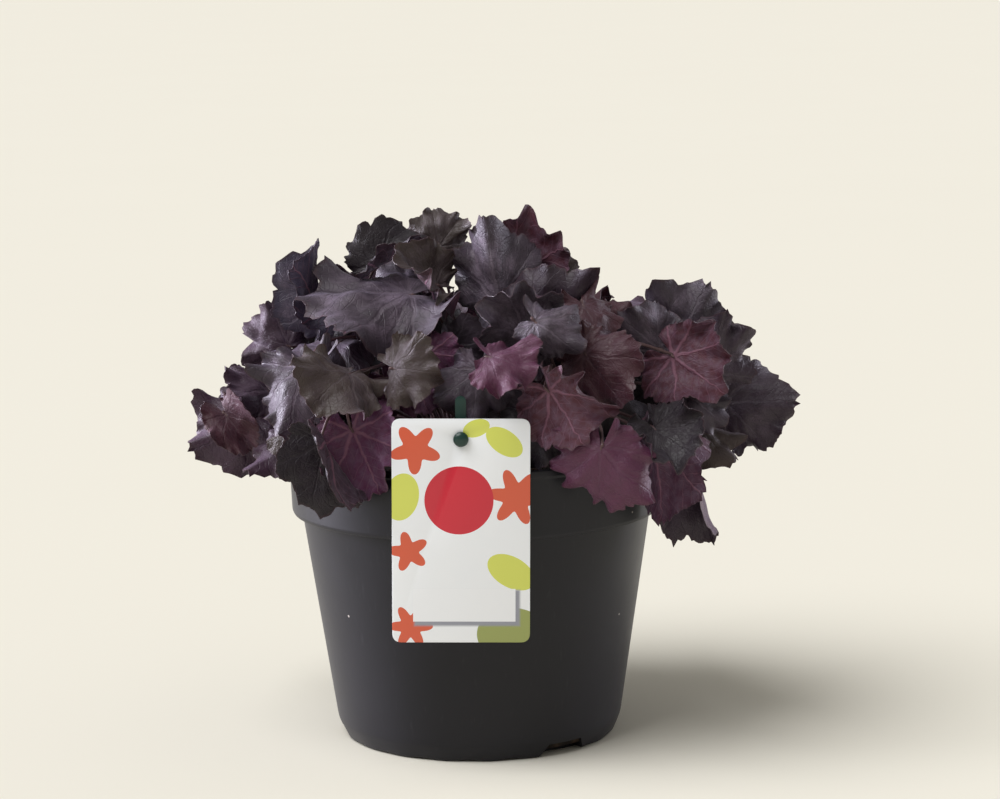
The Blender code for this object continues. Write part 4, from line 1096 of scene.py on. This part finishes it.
def veins_group():
    """Palmate veins with side veins, and the net between them, from a place on the flat blade."""
    outputs = ("Veins", "Net", "Radius", "Streak")
    tree, given, out = new_group("palmate veins", {"Place": "NodeSocketVector"}, outputs)
    ripple = noise(tree, given.outputs[0], 5.0).node.outputs["Color"]
    wander = vectors(tree, "SUBTRACT", {0: ripple, 1: (0.5, 0.5, 0.5)})
    wander = vectors(tree, "SCALE", {0: wander, "Scale": 0.10})
    place = vectors(tree, "ADD", {0: given.outputs[0], 1: wander})
    parts = add(tree, "ShaderNodeSeparateXYZ", {0: place}).outputs
    squares = [work(tree, "POWER", part, 2.0) for part in parts[:2]]
    radius = work(tree, "SQRT", plus(tree, *squares))
    lobe = work(tree, "DIVIDE", work(tree, "ARCTAN2", parts[0], parts[1]), LOBE_SPREAD)
    off_centre = work(tree, "ABSOLUTE", minus(tree, lobe, work(tree, "ROUND", lobe)))
    aside = times(tree, off_centre, radius, LOBE_SPREAD)
    width = ramp(tree, radius, 0.0, 0.9, 0.030, 0.008, smooth=False)
    main = ramp(tree, work(tree, "DIVIDE", aside, width), 0.4, 1.3, 1.0, 0.0)
    run = work(tree, "DIVIDE", minus(tree, radius, times(tree, aside, SIDE_VEIN_SLOPE)), SIDE_VEIN_STEP)
    near = work(tree, "ABSOLUTE", minus(tree, work(tree, "FRACT", run), 0.5))
    side = times(tree, ramp(tree, near, 0.0, 0.07, 1.0, 0.0), ramp(tree, radius, 0.10, 0.25))
    veins = work(tree, "MAXIMUM", main, times(tree, side, 0.6))
    cells = {"Vector": place, "Scale": 17.0}
    edges = add(tree, "ShaderNodeTexVoronoi", cells, feature="DISTANCE_TO_EDGE").outputs[0]
    net = ramp(tree, edges, 0.0, 0.12, 1.0, 0.0)
    rays = add(tree, "ShaderNodeCombineXYZ", {0: times(tree, lobe, 5.0), 1: times(tree, radius, 2.2)})
    streak = noise(tree, rays.outputs[0], 1.6, 4.0)
    for number, value in enumerate((veins, net, radius, streak)):
        tree.links.new(value, out.inputs[number])
    return tree


veins_tree = veins_group()


def blade_finish(name, upper):
    """The blade's finish, above or below, in the colour that its leaf carries, with a painted highlight that
    makes the haze lighter on the leaves high on the mound.
    """
    made, tree, shader, spot = new_finish(
        name,
        Specular_IOR_Level=0.45 if upper else 0.35,
        Sheen_Weight=0.10,
        Sheen_Roughness=0.45,
        Sheen_Tint=rgb(0.82, 0.76, 0.92),
    )
    place = add(tree, "ShaderNodeUVMap", uv_map="Blade").outputs[0]
    veins, net, radius, streak = add(tree, "ShaderNodeGroup", {0: place}, node_tree=veins_tree).outputs[:4]
    tone = add(tree, "ShaderNodeAttribute", attribute_name="tone" if upper else "tone_below").outputs["Color"]
    haze = add(tree, "ShaderNodeAttribute", attribute_name="haze").outputs["Fac"]
    margin = add(tree, "ShaderNodeAttribute", attribute_name="margin").outputs["Fac"]
    mottle = noise(tree, spot, 95.0, 4.0)
    if upper:
        silver = times(
            tree,
            haze,
            minus(tree, 1.0, times(tree, net, 0.35)),
            ramp(tree, mottle, 0.28, 0.66, 0.20, 1.0),
            ramp(tree, noise(tree, spot, 34.0), 0.34, 0.64, 0.22, 1.0),
            ramp(tree, streak, 0.36, 0.62, 0.50, 1.0),
            ramp(tree, margin, 0.72, 1.0, 1.0, 0.30),
        )
        # Painted highlight: the haze turns lighter on the leaves high on the mound, standing in for the light
        # that falls on its top.
        height = add(tree, "ShaderNodeSeparateXYZ", {0: spot}).outputs[2]
        painted_top_light = ramp(tree, height, 0.225, 0.285)
        haze_and_painted_top_light = blend(tree, painted_top_light, rgb(0.098, 0.066, 0.102), rgb(0.160, 0.120, 0.166))
        plain = blend(tree, silver, tone, haze_and_painted_top_light)
        light = blend(tree, times(tree, haze, 0.8), tone, rgb(0.165, 0.128, 0.168))
        shown = times(tree, veins, ramp(tree, radius, 0.0, 0.85, 0.60, 0.10))
        rough = ramp(tree, mottle, 0.3, 0.7, 0.46, 0.60)
        vein_relief, net_relief = -1.0, -0.35
    else:
        bloom = ramp(tree, noise(tree, place, 9.0, 3.0), 0.3, 0.7, 0.0, 0.35)
        plain = blend(tree, bloom, tone, rgb(0.13, 0.09, 0.14))
        light = rgb(0.23, 0.10, 0.15)
        shown = times(tree, veins, 0.6)
        rough = ramp(tree, mottle, 0.3, 0.7, 0.50, 0.62)
        vein_relief, net_relief = 1.2, 0.35
    colour = blend(tree, shown, plain, light)
    edged = blend(tree, ramp(tree, margin, 0.95, 1.0, 0.0, 0.5), colour, rgb(0.045, 0.016, 0.022))
    wire(tree, shader, Base_Color=edged, Roughness=rough)
    shares = ((veins, vein_relief), (net, net_relief), (mottle, 0.5), (streak, 1.6))
    relief = plus(tree, *(times(tree, value, share) for value, share in shares))
    roughen(tree, shader, relief, 0.55, 0.0006)
    return made


def stalk_finish():
    made, tree, shader, place = new_finish("leaf_stalk", Roughness=0.5, Specular_IOR_Level=0.35)
    cloud = noise(tree, place, 70.0, 3.0)
    wire(tree, shader, Base_Color=blend(tree, cloud, rgb(0.060, 0.024, 0.030), rgb(0.130, 0.085, 0.085)))
    roughen(tree, shader, noise(tree, place, 1400.0), 0.4, 0.0003)
    return made


leaf_finishes = [blade_finish("leaf_upper", True), blade_finish("leaf_under", False), stalk_finish()]


def leaf_object(name, leaves):
    """One object of one or more leaves, each given as its blade and its stalk's way."""
    points, faces, finishes, flat, share, colours = [], [], [], [], [], []
    start = 0
    for blade, way in leaves:
        its_points, its_faces, its_finishes, its_flat, its_share = fine_leaf(blade, way)
        points.append(its_points)
        faces += [tuple(index + start for index in face) for face in its_faces]
        finishes += its_finishes
        flat.append(its_flat)
        share.append(its_share)
        colours += [TONES[blade.tone]] * len(its_points)
        start += len(its_points)
    made = mesh_object(name, np.concatenate(points), faces, leaf_finishes)
    mesh = made.data
    mesh.polygons.foreach_set("material_index", finishes)
    corners = np.empty(len(mesh.loops), np.int32)
    mesh.loops.foreach_get("vertex_index", corners)
    places = mesh.uv_layers.new(name="Blade")
    places.data.foreach_set("uv", np.concatenate(flat)[corners].ravel())
    mesh.attributes.new("margin", "FLOAT", "POINT").data.foreach_set("value", np.concatenate(share))
    mesh.attributes.new("haze", "FLOAT", "POINT").data.foreach_set("value", [tone.haze for tone in colours])
    for label, pick in (("tone", "upper"), ("tone_below", "under")):
        layer = mesh.attributes.new(label, "FLOAT_COLOR", "POINT")
        layer.data.foreach_set("color", np.array([(*getattr(tone, pick), 1.0) for tone in colours]).ravel())
    sharpen(made, 60)
    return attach(made, "root")


YOUNG_IN_PIECE = 14
leaf_names = [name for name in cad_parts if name.startswith("leaf_")]
joined = Joined([*leaf_names, "crown"])
young = []
for maker in leaf_makers():
    found = standing(maker, joined)
    if found is None:
        continue
    blade, owner, way = found
    if owner == "crown":
        young.append((blade, [*way, way[-1] + unit(way[-1] - way[-2]) * 6.0]))
        continue
    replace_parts(leaf_object("fine_" + owner, [(blade, way)]), owner)

# The crown. The short woody stock that the stalks grow from, with the young leaves, which are made in a few
# pieces.

CROWN_SIDES = 64


def crown_finish():
    made, tree, shader, place = new_finish("crown_wood", Roughness=0.85, Specular_IOR_Level=0.2)
    bark = noise(tree, place, 120.0, 6.0)
    wire(tree, shader, Base_Color=blend(tree, bark, rgb(0.020, 0.010, 0.008), rgb(0.090, 0.045, 0.036)))
    roughen(tree, shader, bark, 0.8, 0.002)
    return made


def make_crown():
    sphere = (CROWN_RADIUS**2 + CROWN_RISE**2) / (2 * CROWN_RISE)
    base = SOIL_TOP + SOIL_MOUND
    edge = math.asin(CROWN_RADIUS / sphere)
    profile = [(0.0, base - CROWN_SINK), (CROWN_RADIUS, base - CROWN_SINK)]
    for step in range(16):
        angle = edge * (1 - step / 16)
        profile.append((sphere * math.sin(angle), base + CROWN_RISE - sphere * (1 - math.cos(angle))))
    profile.append((0.0, base + CROWN_RISE))
    points, faces = turned(profile, CROWN_SIDES)
    top = points[:, 2] > base - CROWN_SINK + 0.1
    x, y = points[:, 0], points[:, 1]
    knobs = np.sin(x / 3.1) * np.cos(y / 2.7) + np.sin(x / 1.7 + y / 2.1)
    points[top, 2] += 0.7 * knobs[top] - 0.8
    crown = mesh_object("crown_stock", points, faces, [crown_finish()])
    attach(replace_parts(crown, "crown"), "root")


make_crown()
for start in range(0, len(young), YOUNG_IN_PIECE):
    leaf_object(f"young_leaves_{start // YOUNG_IN_PIECE + 1}", young[start : start + YOUNG_IN_PIECE])

# The stage. A plain pale floor, a cream surround, a broad soft light from above on the left, and a low one
# on each side for the gloss along the pot's edges.

FLOOR_REACH = 100000.0
CAMERA_PLACE = (0.0155, -1.8, 0.4843)
CAMERA_PITCH = 0.154  # radians below level
CAMERA_ROLL = 0.015
CAMERA_LENS = 107.35
CREAM = rgb(0.875, 0.855, 0.790)
CREAM_STRENGTH = 0.36
SUN_STRENGTH = 2.6
SUN_SPREAD = 50  # degrees
SUN_WAY = (0.50, 0.28, -0.85)
STRIP_SPREAD = 70  # degrees
STRIP_COLOUR = (0.88, 0.86, 1.0)


def make_floor():
    made, tree, shader, place = new_finish("pale_floor", Roughness=0.9, Specular_IOR_Level=0.1)
    colour = blend(tree, noise(tree, place, 2.0), rgb(0.895, 0.862, 0.775), rgb(0.905, 0.872, 0.785))
    wire(tree, shader, Base_Color=colour)
    reach = FLOOR_REACH
    corners = [(-reach, -reach, 0), (reach, -reach, 0), (reach, reach, 0), (-reach, reach, 0)]
    floor = mesh_object("floor", corners, [(0, 1, 2, 3)], [made], smooth=False)
    return floor


def aimed(way):
    """The turn of a lamp that shines along a way."""
    return Vector(way).to_track_quat("-Z", "Y").to_euler()


def strip_light(name, place, aim, width, height, power, passed_by):
    """A tall soft lamp that lights the object alone, and passes by the floor."""
    data = bpy.data.lights.new(name, "AREA")
    data.shape = "RECTANGLE"
    data.size, data.size_y = width, height
    data.energy = power
    data.spread = math.radians(STRIP_SPREAD)
    data.color = STRIP_COLOUR
    lamp = new_object(name, data)
    lamp.location = place
    lamp.rotation_euler = aimed(Vector(aim) - Vector(place))
    lamp.light_linking.receiver_collection = passed_by


def make_stage():
    passed_by = bpy.data.collections.new("passed_by")
    passed_by.objects.link(make_floor())
    passed_by.collection_objects[0].light_linking.link_state = "EXCLUDE"
    world = bpy.data.worlds.new("studio")
    world.use_nodes = True
    back = world.node_tree.nodes["Background"]
    back.inputs["Color"].default_value = CREAM
    back.inputs["Strength"].default_value = CREAM_STRENGTH
    bpy.context.scene.world = world
    sun = bpy.data.lights.new("soft_key", "SUN")
    sun.energy = SUN_STRENGTH
    sun.angle = math.radians(SUN_SPREAD)
    new_object("soft_key", sun).rotation_euler = aimed(SUN_WAY)
    strip_light("left_strip", (-1.5, 0.35, 0.50), (0, 0, 0.15), 0.5, 1.0, 12.0, passed_by)
    strip_light("right_strip", (1.5, 0.60, 0.45), (0, 0, 0.15), 0.35, 1.0, 3.0, passed_by)

    lens = bpy.data.cameras.new("camera")
    lens.sensor_width = 36.0
    lens.lens = CAMERA_LENS
    camera = new_object("camera", lens)
    camera.location = CAMERA_PLACE
    turn = Matrix.Rotation(math.pi / 2 - CAMERA_PITCH, 4, "X") @ Matrix.Rotation(-CAMERA_ROLL, 4, "Z")
    camera.rotation_euler = turn.to_euler()
    bpy.context.scene.camera = camera
    bpy.context.scene.view_settings.view_transform = "Standard"


make_stage()
